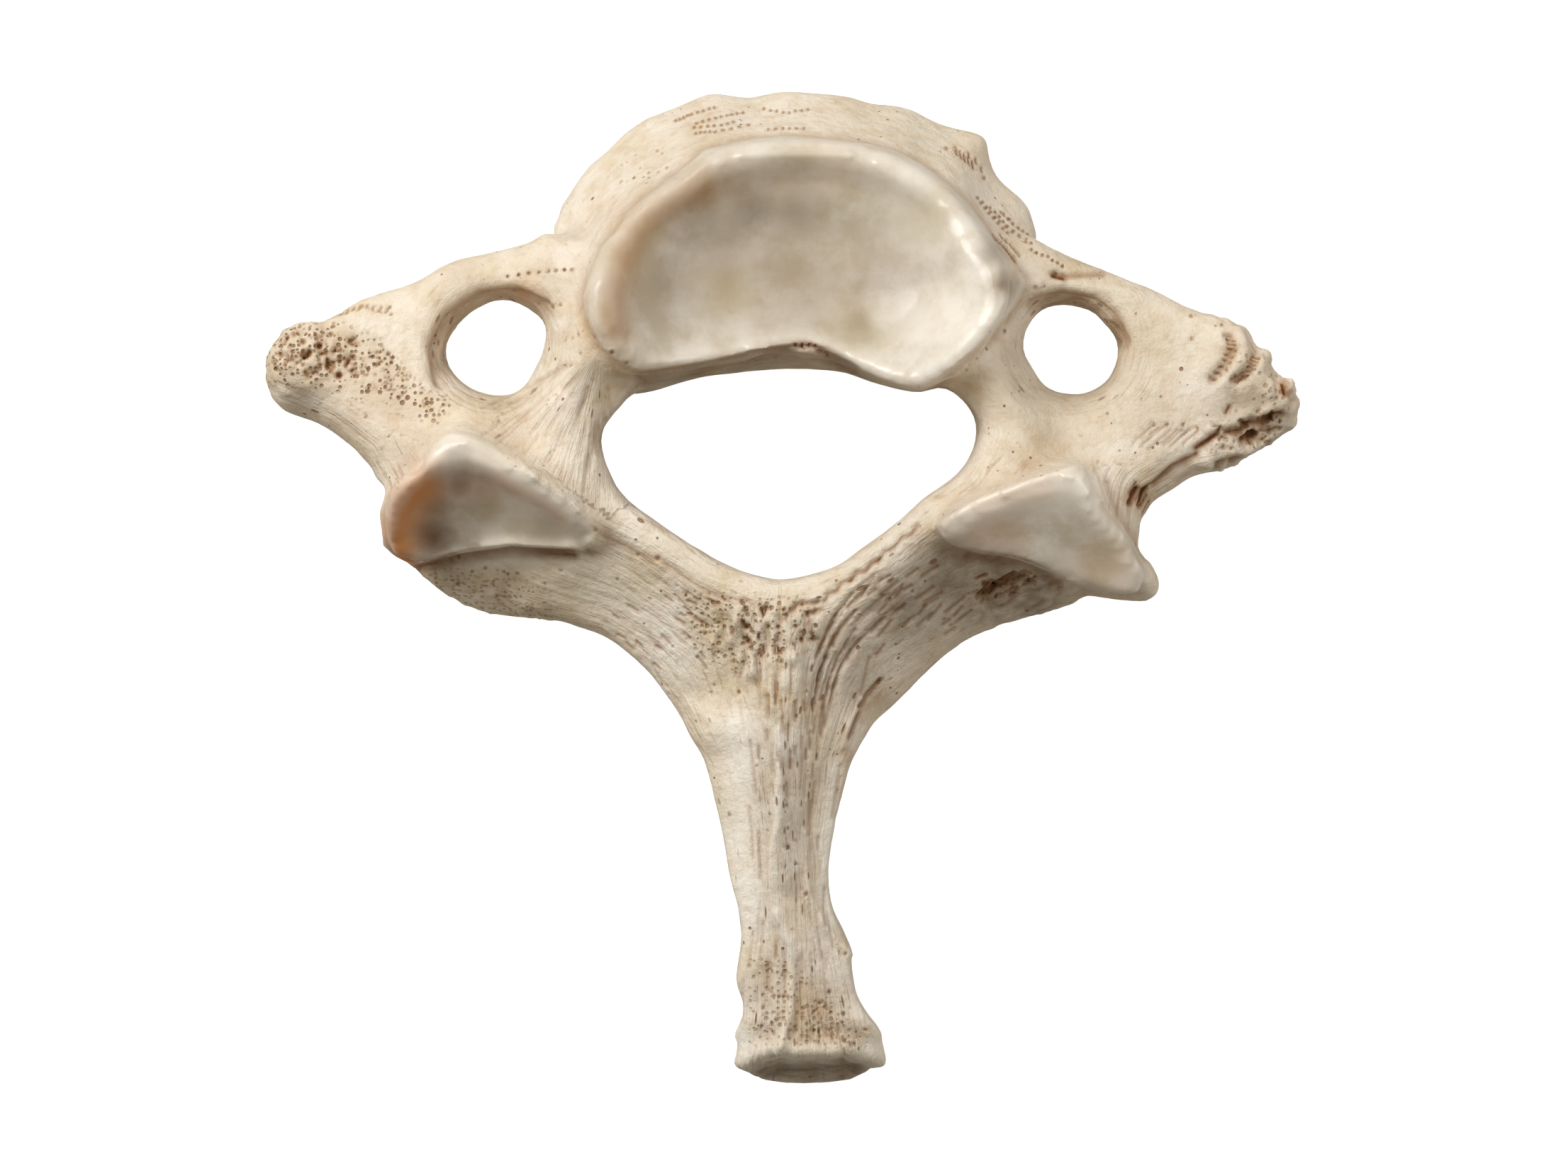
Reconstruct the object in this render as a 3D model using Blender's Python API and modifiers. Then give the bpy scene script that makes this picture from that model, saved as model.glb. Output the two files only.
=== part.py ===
"""A human seventh cervical vertebra, cleaned and dry, lying on its underside.

The bone is one piece: the vertebral body, the arch with its articular pillars and laminae,
the two transverse processes with their foramina, and the long spinous process.
Sizes are in millimetres until a mesh is written, which is in metres. +X is the right of the
picture, +Y is the front of the neck and +Z is the head end. While it is modelled, x = 0 is the
midline, y = 0 is the middle of the vertebral canal and z = 0 is the floor.
"""

import math

import bpy
import numpy as np

MM = 0.001

# Grain of the model
RING_POINTS = 48
CUTTER_POINTS = 72
SECTIONS_PER_SPAN = 4
VOXEL = 0.45
SMOOTHING_PASSES = 7
FINAL_TRIANGLES = 11000
FLAT_DEPTH = 0.25

# Vertebral body: its middle, and the heights of its levels
BODY_MIDDLE = (0.8, 14.6)
BODY_WAIST_Z = 8.0
DISH_Z = 12.1

# Lower edge of the body as (x, y, z), from the back left corner round the front
LOWER_EDGE = [
    (-11.5, 5.6, 1.7), (-14.6, 8.5, 2.0), (-15.9, 12.0, 2.0), (-15.9, 16.0, 1.4),
    (-15.2, 19.2, 0.6), (-12.7, 22.3, 0.0), (-10.4, 24.3, -0.25), (-7.2, 25.8, -0.15),
    (-4.7, 26.5, 0.2), (-3.0, 26.2, 0.4), (-0.6, 26.7, 0.6), (2.5, 26.6, 0.5),
    (5.5, 25.9, 0.2), (8.2, 25.6, -0.15), (10.8, 24.5, -0.25), (13.6, 23.5, 0.0),
    (14.5, 20.9, 0.5), (16.5, 19.0, 1.1), (17.2, 16.0, 1.6), (16.6, 12.0, 2.0),
    (14.8, 8.5, 2.0), (11.5, 5.5, 1.7), (6.0, 6.2, 1.4), (0.0, 7.0, 1.3), (-6.0, 6.3, 1.4),
]
# Upper edge of the body as (x, y, z), matching the lower edge point for point
UPPER_EDGE = [
    (-10.1, 6.5, 15.6), (-12.6, 8.4, 17.4), (-13.4, 11.8, 18.0), (-12.7, 14.6, 16.8),
    (-11.4, 16.6, 15.6), (-9.0, 18.9, 14.9), (-7.0, 20.0, 14.6), (-5.3, 21.6, 14.4),
    (-3.2, 22.1, 14.4), (-1.4, 22.4, 14.4), (0.6, 22.5, 14.4), (2.8, 22.4, 14.4),
    (5.2, 22.1, 14.4), (7.4, 21.4, 14.5), (9.4, 20.3, 14.6), (11.2, 18.9, 14.9),
    (12.7, 17.0, 15.5), (13.9, 14.9, 16.8), (15.3, 12.9, 17.6), (14.7, 10.4, 17.8),
    (12.8, 7.6, 17.2), (9.5, 5.4, 15.6), (5.4, 6.9, 14.2), (0.6, 8.2, 13.7), (-5.4, 7.1, 14.2),
]
BODY_POINTS_PER_KNOT = 3
WAIST_SHARE = 0.975
SHOULDER_SHARE = 0.8
SHOULDER_DROP = 3.2
# Underside and foot of the wall: evenness of the height, share of the radius, and lift
UNDERSIDE_RINGS = [(1.0, 0.25, 1.9), (0.6, 0.55, 1.5), (0.0, 0.78, 0.85), (0.0, 0.9, 0.25),
                   (0.0, 0.97, 0.0), (0.0, 1.0, 1.3), (0.0, 0.995, 3.0)]
# Rim: share of the upper edge's radius, and the drop below its height
RIM_RINGS = [(1.0, 0.5), (0.95, 0.0), (0.87, 0.3), (0.79, 1.3)]
# Dish: share of the upper edge's radius, and how far it has come down to the dish's level
DISH_RINGS = [(0.62, 0.75), (0.36, 0.97)]

# Canal between body and arch as (x, y)
CANAL_EDGE = [
    (-12.5, 2.2), (-12.2, 3.5), (-11.3, 4.6), (-9.8, 5.5), (-7.5, 6.2), (-5.0, 6.7),
    (-1.8, 7.1), (1.4, 7.2), (4.0, 6.8), (6.4, 6.2), (9.2, 5.6), (11.0, 5.9), (12.4, 4.9),
    (13.1, 2.9), (12.5, 1.0), (11.3, -0.3), (8.9, -2.0), (6.2, -4.3), (3.6, -6.1), (0.3, -7.2),
    (-2.0, -6.9), (-5.0, -5.5), (-8.0, -3.6), (-10.9, -1.6), (-11.9, 0.1),
]
# Transverse foramina as (x, y), left then right
FORAMINA = [
    [(-19.9, 11.9), (-17.5, 11.4), (-16.6, 9.9), (-16.7, 8.4), (-17.3, 6.8), (-18.2, 5.8),
     (-19.9, 5.4), (-22.3, 6.5), (-23.3, 8.7), (-21.9, 10.9)],
    [(19.3, 11.7), (17.2, 11.1), (16.2, 9.2), (16.6, 7.7), (17.3, 6.5), (18.3, 5.8),
     (19.9, 5.4), (22.3, 6.8), (22.8, 9.1), (21.7, 11.0)],
]
# Levels of the canal and of a foramen as (z, share of its size)
CANAL_LEVELS = [(-6.0, 1.12), (3.0, 1.03), (9.0, 1.0), (14.0, 1.02), (24.0, 1.1)]
FORAMEN_LEVELS = [(-4.0, 1.5), (3.5, 1.15), (7.0, 1.0), (9.2, 1.03), (11.5, 1.45), (15.0, 2.1)]

# Arch, from its left pillar through both laminae to its right pillar.
# Each station is x, then the upper edge (y, z, radius) and the lower edge (y, z, radius).
ARCH = [
    (-27.9, (-3.4, 9.8, 1.1), (-4.0, 7.6, 1.0)),
    (-26.4, (-2.3, 10.6, 2.0), (-4.3, 6.2, 1.7)),
    (-23.6, (-1.2, 11.0, 2.8), (-5.5, 4.0, 2.6)),
    (-21.0, (-1.2, 11.2, 3.0), (-6.4, 3.2, 3.0)),
    (-18.0, (-1.4, 11.0, 3.0), (-7.0, 3.2, 2.9)),
    (-15.0, (-1.8, 10.4, 2.8), (-7.7, 3.6, 2.6)),
    (-12.0, (-2.2, 10.4, 2.7), (-9.0, 4.4, 2.4)),
    (-9.0, (-4.6, 10.6, 2.6), (-11.7, 4.9, 2.3)),
    (-6.0, (-6.7, 10.8, 2.5), (-16.2, 5.2, 2.3)),
    (-3.0, (-8.2, 11.0, 2.5), (-19.5, 5.6, 2.4)),
    (0.0, (-8.9, 11.2, 2.5), (-20.5, 5.8, 2.5)),
    (3.0, (-8.3, 11.0, 2.5), (-19.0, 5.6, 2.4)),
    (6.0, (-6.4, 10.8, 2.5), (-15.4, 5.2, 2.3)),
    (9.0, (-4.0, 10.6, 2.6), (-11.9, 4.9, 2.4)),
    (12.0, (-1.9, 10.4, 2.7), (-9.3, 4.4, 2.4)),
    (15.0, (-2.4, 10.6, 2.7), (-7.7, 3.6, 2.6)),
    (18.0, (-2.4, 10.8, 2.9), (-6.6, 3.2, 2.9)),
    (20.6, (-2.8, 10.6, 2.8), (-6.0, 4.0, 2.7)),
    (23.0, (-3.4, 9.4, 2.4), (-6.1, 5.8, 2.3)),
    (24.4, (-6.4, 8.6, 1.9), (-6.9, 7.0, 1.7)),
    (25.6, (-7.2, 8.2, 0.9), (-7.2, 7.4, 0.8)),
]

# Transverse processes: each station is x, then the front edge and the back edge as above
LEFT_TRANSVERSE = [
    (-11.0, (12.5, 8.2, 2.6), (3.0, 9.2, 3.0)),
    (-14.0, (13.8, 8.0, 2.7), (1.5, 9.2, 3.2)),
    (-17.0, (13.6, 7.6, 2.7), (0.5, 9.0, 3.3)),
    (-20.0, (13.1, 7.4, 2.4), (0.0, 8.8, 3.3)),
    (-23.0, (12.3, 7.4, 2.4), (0.4, 8.6, 3.2)),
    (-25.6, (11.2, 7.4, 2.1), (0.9, 8.4, 2.7)),
    (-28.0, (10.6, 7.4, 2.0), (2.8, 8.2, 2.7)),
    (-30.0, (9.3, 7.8, 2.2), (4.9, 7.4, 2.8)),
    (-32.4, (7.9, 8.2, 2.6), (6.3, 6.6, 2.9)),
    (-34.4, (7.6, 8.0, 2.6), (6.8, 6.6, 2.6)),
    (-35.6, (7.5, 7.6, 1.3), (7.0, 6.8, 1.3)),
]
RIGHT_TRANSVERSE = [
    (11.0, (12.5, 8.2, 2.6), (3.0, 9.2, 3.0)),
    (14.0, (13.8, 8.0, 2.7), (1.5, 9.2, 3.2)),
    (17.0, (13.6, 7.6, 2.7), (0.5, 9.0, 3.3)),
    (20.0, (12.5, 7.4, 2.5), (0.0, 8.8, 3.3)),
    (22.6, (11.6, 7.4, 2.4), (0.2, 8.6, 3.2)),
    (25.6, (10.5, 7.4, 2.3), (1.3, 8.2, 2.9)),
    (28.0, (9.2, 7.6, 2.3), (2.3, 7.8, 2.5)),
    (30.6, (8.4, 7.8, 2.4), (3.1, 7.4, 2.6)),
    (32.4, (6.7, 8.0, 2.5), (4.1, 6.8, 2.5)),
    (34.0, (5.3, 7.8, 2.2), (4.5, 6.8, 2.1)),
    (35.3, (4.5, 7.4, 1.1), (4.2, 6.9, 1.1)),
]

# Pedicles: each station is y, then the upper edge and the lower edge as (x, z, radius)
LEFT_PEDICLE = [
    (11.0, (-11.6, 12.4, 2.6), (-11.6, 8.6, 2.6)),
    (7.0, (-13.8, 11.6, 2.5), (-14.0, 8.6, 2.5)),
    (3.5, (-14.7, 11.0, 2.8), (-15.0, 8.6, 2.8)),
    (0.0, (-15.0, 11.0, 3.2), (-15.6, 8.4, 3.3)),
    (-4.0, (-15.6, 10.4, 3.2), (-16.2, 7.4, 3.2)),
]
RIGHT_PEDICLE = [
    (11.0, (12.0, 12.4, 2.6), (12.0, 8.6, 2.6)),
    (7.0, (14.0, 11.6, 2.4), (14.2, 8.6, 2.4)),
    (3.5, (15.2, 11.0, 2.6), (15.4, 8.6, 2.6)),
    (0.0, (14.8, 11.0, 3.2), (15.4, 8.4, 3.3)),
    (-4.0, (14.4, 10.4, 3.0), (15.2, 7.4, 3.2)),
]

# Spinous process: each station is y, then its crest and its keel as (x, z, radius)
SPINE = [
    (-9.6, (-0.1, 11.4, 1.8), (0.0, 7.4, 3.6)),
    (-14.0, (-0.2, 11.6, 1.6), (0.0, 6.8, 5.0)),
    (-17.0, (-0.3, 11.5, 1.5), (-0.3, 6.6, 5.6)),
    (-20.0, (-0.2, 11.2, 1.4), (-0.5, 6.6, 4.9)),
    (-24.0, (-0.1, 10.6, 1.4), (-0.5, 6.2, 4.0)),
    (-28.0, (0.1, 9.9, 1.4), (-0.4, 5.6, 3.4)),
    (-31.0, (0.4, 9.2, 1.6), (0.5, 4.7, 3.5)),
    (-34.0, (0.8, 8.4, 1.8), (0.6, 4.6, 4.1)),
    (-36.6, (0.8, 8.0, 2.2), (1.3, 4.5, 4.2)),
    (-38.6, (1.0, 7.6, 2.8), (1.6, 5.1, 5.2)),
    (-40.2, (1.2, 7.2, 2.8), (1.5, 5.3, 4.9)),
    (-41.3, (1.2, 6.4, 2.6), (1.5, 5.2, 3.9)),
    (-42.0, (1.2, 5.8, 1.4), (1.4, 5.2, 2.0)),
]

# Superior articular facets: outline as (x, y), and its slope as (height at y = 0, rise along y)
LEFT_FACET = [
    (-27.2, -2.8), (-26.3, -1.0), (-24.8, 0.5), (-23.6, 1.7), (-22.5, 2.5), (-21.4, 2.5),
    (-20.2, 1.8), (-19.2, 1.0), (-17.6, 0.4), (-15.8, -0.8), (-14.3, -2.0), (-13.2, -3.2),
    (-12.9, -4.1), (-13.5, -4.8), (-15.0, -5.1), (-17.0, -5.0), (-19.4, -5.0), (-21.4, -5.2),
    (-23.3, -5.7), (-25.0, -6.1), (-26.2, -5.9), (-27.0, -4.7),
]
RIGHT_FACET = [
    (10.2, -4.1), (11.2, -3.1), (12.8, -2.1), (14.3, -1.4), (15.5, -0.9), (17.1, -0.4),
    (18.3, 0.1), (19.4, 0.2), (20.3, -0.3), (20.8, -1.7), (21.6, -3.0), (22.8, -4.4),
    (23.9, -5.9), (24.4, -7.1), (23.9, -7.9), (22.4, -8.1), (20.8, -7.9), (19.6, -7.5),
    (18.1, -6.9), (16.7, -6.2), (14.8, -5.7), (12.4, -5.3),
]
LEFT_FACET_SLOPE = (17.8, 0.92)
RIGHT_FACET_SLOPE = (19.2, 0.82)
# Where a facet's slope starts to level off towards its front edge, and how fast
FACET_SHOULDERS = (-1.2, -2.6)
FACET_SHOULDER_BEND = 0.14
FACET_ROOT_Z = 7.4
# A facet's rings: share of its outline, shift to the front, and the height over its slope
FACET_RINGS = [(0.6, 2.2, -11.0), (0.85, 1.7, -7.0), (0.98, 0.8, -3.2), (1.04, 0.2, -1.2),
               (1.01, 0.0, -0.2), (0.94, 0.0, 0.2), (0.86, 0.0, 0.05), (0.76, 0.0, -0.35),
               (0.45, 0.0, -0.7)]


def closed_curve(points, count):
    """Evenly indexed points of a closed Catmull-Rom curve through the given points."""
    knots = np.array(points, float)
    share = np.arange(count) * len(knots) / count
    first = share.astype(int)
    t = (share - first)[:, None]
    before, here, after, beyond = (knots[(first + k) % len(knots)] for k in (-1, 0, 1, 2))
    return 0.5 * (
        2 * here
        + (after - before) * t
        + (2 * before - 5 * here + 4 * after - beyond) * t**2
        + (3 * here - before - 3 * after + beyond) * t**3
    )


def open_curve(points, per_span):
    """Points of an open Catmull-Rom curve through the given points, ends included."""
    knots = np.array(points, float)
    padded = np.vstack([2 * knots[0] - knots[1], knots, 2 * knots[-1] - knots[-2]])
    spans = []
    for i in range(len(knots) - 1):
        before, here, after, beyond = padded[i:i + 4]
        for t in np.arange(per_span) / per_span:
            spans.append(0.5 * (
                2 * here
                + (after - before) * t
                + (2 * before - 5 * here + 4 * after - beyond) * t**2
                + (3 * here - before - 3 * after + beyond) * t**3
            ))
    return np.array(spans + [knots[-1]])


def capsule(upper, lower):
    """Outline of the hull round two circles (u, v, radius), from the upper circle's far end."""
    centres = np.array([upper[:2], lower[:2]], float)
    radii = np.array([upper[2], lower[2]], float)
    along = centres[0] - centres[1]
    start = math.atan2(along[1], along[0]) if np.linalg.norm(along) > 0.01 else math.pi / 2
    angles = start + np.linspace(0, 2 * math.pi, 181)
    ways = np.stack([np.cos(angles), np.sin(angles)], axis=1)
    reach = ways @ centres.T + radii
    nearest = reach.argmax(axis=1)
    outline = centres[nearest] + radii[nearest, None] * ways
    steps = np.linalg.norm(np.diff(outline, axis=0), axis=1)
    length = np.concatenate([[0], np.cumsum(steps)])
    even = np.linspace(0, length[-1], RING_POINTS, endpoint=False)
    return np.stack([np.interp(even, length, outline[:, k]) for k in (0, 1)], axis=1)


def loft(name, rings):
    """A closed mesh object through rings of equally many points, capped at both ends."""
    count = len(rings[0])
    points = np.vstack(rings + [rings[0].mean(axis=0)[None], rings[-1].mean(axis=0)[None]])
    first_cap, last_cap = len(points) - 2, len(points) - 1
    faces = []
    for k in range(len(rings) - 1):
        for i in range(count):
            a, b = k * count + i, k * count + (i + 1) % count
            faces.append((a, b, b + count, a + count))
    last = (len(rings) - 1) * count
    for i in range(count):
        after = (i + 1) % count
        faces.append((first_cap, after, i))
        faces.append((last_cap, last + i, last + after))
    return mesh_object(name, points, faces)


def mesh_object(name, points_mm, faces):
    """A mesh object in the scene from points in millimetres, its faces turned outwards."""
    mesh = bpy.data.meshes.new(name)
    mesh.from_pydata([tuple(p * MM) for p in points_mm], [], faces)
    obj = bpy.data.objects.new(name, mesh)
    bpy.context.scene.collection.objects.link(obj)
    bpy.context.view_layer.objects.active = obj
    bpy.ops.object.mode_set(mode="EDIT")
    bpy.ops.mesh.select_all(action="SELECT")
    bpy.ops.mesh.normals_make_consistent(inside=False)
    bpy.ops.object.mode_set(mode="OBJECT")
    return obj


def bar(name, stations, across):
    """A bar lofted along x or y through capsule sections; across is the section's plane."""
    flat = [[s[0], *s[1], *s[2]] for s in stations]
    rings = []
    for place, u1, v1, r1, u2, v2, r2 in open_curve(flat, SECTIONS_PER_SPAN):
        section = capsule((u1, v1, max(r1, 0.3)), (u2, v2, max(r2, 0.3)))
        fixed = np.full(len(section), place)
        if across == "yz":
            rings.append(np.stack([fixed, section[:, 0], section[:, 1]], axis=1))
        else:
            rings.append(np.stack([section[:, 0], fixed, section[:, 1]], axis=1))
    return loft(name, rings)


def body_ring(ring, share, lift):
    """A ring drawn in towards the middle of the body and lifted."""
    middle = np.array([*BODY_MIDDLE, 0.0])
    points = middle + (ring - middle) * share
    points[:, 2] = ring[:, 2] + lift
    return points


def vertebral_body():
    """The drum of the body, from its hollow underside up its walls to the rim and the dish."""
    count = BODY_POINTS_PER_KNOT * len(LOWER_EDGE)
    lower = closed_curve(LOWER_EDGE, count)
    upper = closed_curve(UPPER_EDGE, count)
    hollow = lower.copy()
    hollow[:, 2] = lower[:, 2].mean()
    waist = (lower + upper) / 2
    waist[:, 2] = BODY_WAIST_Z
    shoulder = lower + (upper - lower) * SHOULDER_SHARE
    shoulder[:, 2] = upper[:, 2] - SHOULDER_DROP
    rings = []
    for evenness, share, lift in UNDERSIDE_RINGS:
        rings.append(body_ring(lower + (hollow - lower) * evenness, share, lift))
    rings.append(body_ring(waist, WAIST_SHARE, 0.0))
    rings.append(body_ring(shoulder, WAIST_SHARE, 0.0))
    for share, drop in RIM_RINGS:
        rings.append(body_ring(upper, share, -drop))
    for share, depth in DISH_RINGS:
        ring = body_ring(upper, share, 0.0)
        ring[:, 2] += (DISH_Z - upper[:, 2]) * depth
        rings.append(ring)
    return loft("body", rings)


def shaft_cutter(name, outline, levels):
    """A shaft with the given outline, drawn out by its own share at each level."""
    edge = closed_curve([(x, y, 0.0) for x, y in outline], CUTTER_POINTS)
    middle = edge.mean(axis=0)
    rings = []
    for z, share in levels:
        ring = middle + (edge - middle) * share
        ring[:, 2] = z
        rings.append(ring)
    return loft(name, rings)


def facet_plate(name, outline, slope, shoulder):
    """The top of a superior articular process, with its raised rim and its shallow face."""
    height, rise = slope
    edge = closed_curve([(x, y, 0.0) for x, y in outline], 3 * len(outline))
    middle = edge.mean(axis=0)
    rings = []
    for share, shift, lift in FACET_RINGS:
        ring = middle + (edge - middle) * share
        level_off = FACET_SHOULDER_BEND * np.maximum(ring[:, 1] - shoulder, 0.0) ** 2
        ring[:, 2] = np.maximum(height + rise * ring[:, 1] - level_off + lift, FACET_ROOT_Z)
        ring[:, 1] += shift
        rings.append(ring)
    return loft(name, rings)


def apply_modifiers(obj):
    """Replaces an object's mesh with the evaluated one."""
    graph = bpy.context.evaluated_depsgraph_get()
    mesh = bpy.data.meshes.new_from_object(obj.evaluated_get(graph))
    obj.modifiers.clear()
    obj.data = mesh


def cut(obj, cutter):
    """Takes a cutter out of an object and removes it."""
    modifier = obj.modifiers.new("cut", "BOOLEAN")
    modifier.operation = "DIFFERENCE"
    modifier.solver = "EXACT"
    modifier.object = cutter
    apply_modifiers(obj)
    bpy.data.objects.remove(cutter)


def fused(pieces):
    """One closed body grown together from overlapping pieces."""
    bone = pieces[0]
    bpy.ops.object.select_all(action="DESELECT")
    for piece in pieces:
        piece.select_set(True)
    bpy.context.view_layer.objects.active = bone
    bpy.ops.object.join()
    grow = bone.modifiers.new("grow", "REMESH")
    grow.mode = "VOXEL"
    grow.voxel_size = VOXEL * MM
    apply_modifiers(bone)
    return bone


def soften(obj, passes):
    """Rounds the edges and fills the corners between the fused pieces."""
    smooth = obj.modifiers.new("soften", "SMOOTH")
    smooth.factor = 0.5
    smooth.iterations = passes
    apply_modifiers(obj)


def thin_out(obj, triangles):
    """Collapses the mesh to about the given number of triangles."""
    obj.data.calc_loop_triangles()
    modifier = obj.modifiers.new("thin", "DECIMATE")
    modifier.ratio = triangles / len(obj.data.loop_triangles)
    apply_modifiers(obj)


def set_down(obj):
    """Flattens what is under the floor and centres the bone's box over the origin."""
    count = len(obj.data.vertices)
    points = np.empty(count * 3, np.float32)
    obj.data.vertices.foreach_get("co", points)
    points = points.reshape(-1, 3)
    floor = points[:, 2].min() + FLAT_DEPTH * MM
    points[:, 2] = np.maximum(points[:, 2], floor) - floor
    middle = (points.min(axis=0) + points.max(axis=0)) / 2
    points[:, :2] -= middle[:2]
    obj.data.vertices.foreach_set("co", points.ravel())
    obj.data.update()


def bone_material():
    """Dry ivory bone."""
    material = bpy.data.materials.new("bone")
    material.use_nodes = True
    shader = material.node_tree.nodes["Principled BSDF"]
    shader.inputs["Base Color"].default_value = (0.74, 0.64, 0.50, 1.0)
    shader.inputs["Roughness"].default_value = 0.55
    shader.inputs["Metallic"].default_value = 0.0
    return material


def main():
    for obj in list(bpy.data.objects):
        bpy.data.objects.remove(obj)
    pieces = [
        vertebral_body(),
        bar("arch", ARCH, "yz"),
        bar("left_transverse", LEFT_TRANSVERSE, "yz"),
        bar("right_transverse", RIGHT_TRANSVERSE, "yz"),
        bar("left_pedicle", LEFT_PEDICLE, "xz"),
        bar("right_pedicle", RIGHT_PEDICLE, "xz"),
        bar("spine", SPINE, "xz"),
        facet_plate("left_facet", LEFT_FACET, LEFT_FACET_SLOPE, FACET_SHOULDERS[0]),
        facet_plate("right_facet", RIGHT_FACET, RIGHT_FACET_SLOPE, FACET_SHOULDERS[1]),
    ]
    bone = fused(pieces)
    cut(bone, shaft_cutter("canal_cutter", CANAL_EDGE, CANAL_LEVELS))
    for foramen in FORAMINA:
        cut(bone, shaft_cutter("foramen_cutter", foramen, FORAMEN_LEVELS))
    bone = fused([bone])
    soften(bone, SMOOTHING_PASSES)
    set_down(bone)
    thin_out(bone, FINAL_TRIANGLES)
    bone.name = "cervical_vertebra"
    bone.data.materials.clear()
    bone.data.materials.append(bone_material())
    bone.data.shade_smooth()


main()
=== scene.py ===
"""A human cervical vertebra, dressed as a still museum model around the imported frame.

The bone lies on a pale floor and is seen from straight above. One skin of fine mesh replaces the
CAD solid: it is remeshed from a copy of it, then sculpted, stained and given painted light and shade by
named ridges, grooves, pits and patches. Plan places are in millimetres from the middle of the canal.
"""

import logging
import math
from collections.abc import Callable
from dataclasses import dataclass, field
from enum import Enum

import bmesh
import bpy
import numpy as np
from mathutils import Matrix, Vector, noise
from mathutils.kdtree import KDTree


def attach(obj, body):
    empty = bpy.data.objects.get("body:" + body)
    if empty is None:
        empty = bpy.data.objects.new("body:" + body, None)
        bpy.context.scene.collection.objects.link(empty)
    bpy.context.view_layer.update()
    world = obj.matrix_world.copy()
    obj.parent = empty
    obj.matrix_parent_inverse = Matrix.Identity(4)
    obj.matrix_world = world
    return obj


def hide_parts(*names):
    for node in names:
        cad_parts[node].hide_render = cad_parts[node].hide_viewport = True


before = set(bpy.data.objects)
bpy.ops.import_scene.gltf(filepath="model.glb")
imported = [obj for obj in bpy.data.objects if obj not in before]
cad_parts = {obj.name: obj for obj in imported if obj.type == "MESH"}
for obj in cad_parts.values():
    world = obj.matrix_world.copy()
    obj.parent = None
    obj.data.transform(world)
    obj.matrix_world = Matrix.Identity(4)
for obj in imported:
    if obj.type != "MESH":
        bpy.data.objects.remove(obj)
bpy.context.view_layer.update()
LOG = logging.getLogger("vertebra")

Socket = bpy.types.NodeSocket
Feed = bpy.types.NodeSocket | float | tuple

MM = 0.001
NODE = "cervical_vertebra"
CANAL_SHIFT = (0.22, 7.80)
MARK_SPAN = 2.5
BEND_ROUNDING = 0.3
LEVEL_FOOT = (2.5, 6.0)
END_BACK = (-34.0, -36.0)
END_LEFT = (-3.2, -1.4)
END_RIGHT = (5.8, 4.2)
WALL_PLACE = 1.25
WALL_WIDTH = 0.3
WALL_RISE = 0.2
SMALL_PORE = 0.13
SMALL_SHARE = 0.3


class Flow(Enum):
    """How the fibres of a patch run."""

    BETWEEN = "between"
    FAN = "fan"
    RING = "ring"
    ALONG = "along"


@dataclass(frozen=True)
class Lump:
    """A rounded swelling, or a dent where rise is negative, in millimetres."""

    x: float
    y: float
    radius: float
    rise: float


@dataclass(frozen=True)
class Stroke:
    """A ridge, or a groove where rise is negative, along a line; its darkening is a stain on most grooves and
    painted shade on a few.
    """

    points: tuple
    width: float
    rise: float
    stain_and_shade: float = 0.0


@dataclass(frozen=True)
class Patch:
    """An area bounded by a closed line, with a soft border."""

    points: tuple
    feather: float
    strength: float = 1.0


@dataclass(frozen=True)
class Dent:
    """An area that is lowered, or raised where depth is negative, in millimetres."""

    patch: Patch
    depth: float


@dataclass(frozen=True)
class Rough:
    """An area with a lumpy, creased surface."""

    patch: Patch
    height: float
    size: float
    stretch: float = 1.0


@dataclass(frozen=True)
class Level:
    """An area whose low parts are raised towards one height, so that its flanks lie flatter."""

    patch: Patch
    height: float
    share: float


@dataclass(frozen=True)
class Pull:
    """A place where the whole bone is drawn sideways, as with a grab brush."""

    x: float
    y: float
    radius: float
    dx: float
    dy: float


@dataclass(frozen=True)
class Band:
    """A long blot of a tint that follows a line."""

    points: tuple
    width: float
    strength: float


@dataclass(frozen=True)
class Grain:
    """A field of fibres inside a patch."""

    patch: Patch
    flow: Flow
    inner: tuple
    outer: tuple = ()
    spread: float = 6.0
    mirror: float = 1.0


@dataclass(frozen=True)
class Stain:
    """A round blot of a tint in one of the painted masks."""

    x: float
    y: float
    radius: float
    strength: float


RIM_EDGE = (
    (-13.6, 11.95), (-13.1, 13.2), (-12.7, 14.2), (-12.35, 15.3), (-11.3, 16.4), (-10.6, 17.6),
    (-9.3, 18.8), (-7.5, 20.1), (-6.5, 20.9), (-5.5, 21.9), (-3.7, 22.3), (-2.1, 22.65), (-0.1, 22.85),
    (1.9, 22.7), (3.7, 22.5), (5.8, 22.3), (7.55, 21.8), (9.3, 20.9), (10.9, 19.6), (12.4, 18.1),
    (13.4, 16.8), (14.2, 15.3), (15.3, 14.2), (16.1, 13.0), (15.7, 11.95), (14.95, 10.9), (13.9, 9.65),
    (12.65, 8.4), (11.4, 7.4), (10.1, 6.3), (9.1, 5.7), (7.55, 6.1), (5.5, 6.85), (4.2, 7.4), (3.2, 8.1),
    (2.4, 8.9), (1.2, 9.1), (-1.6, 8.6), (-3.7, 8.1), (-5.7, 7.6), (-7.8, 7.2), (-9.8, 6.85),
    (-11.3, 7.7), (-12.35, 8.6), (-13.1, 9.9), (-13.5, 10.9),
)
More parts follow.
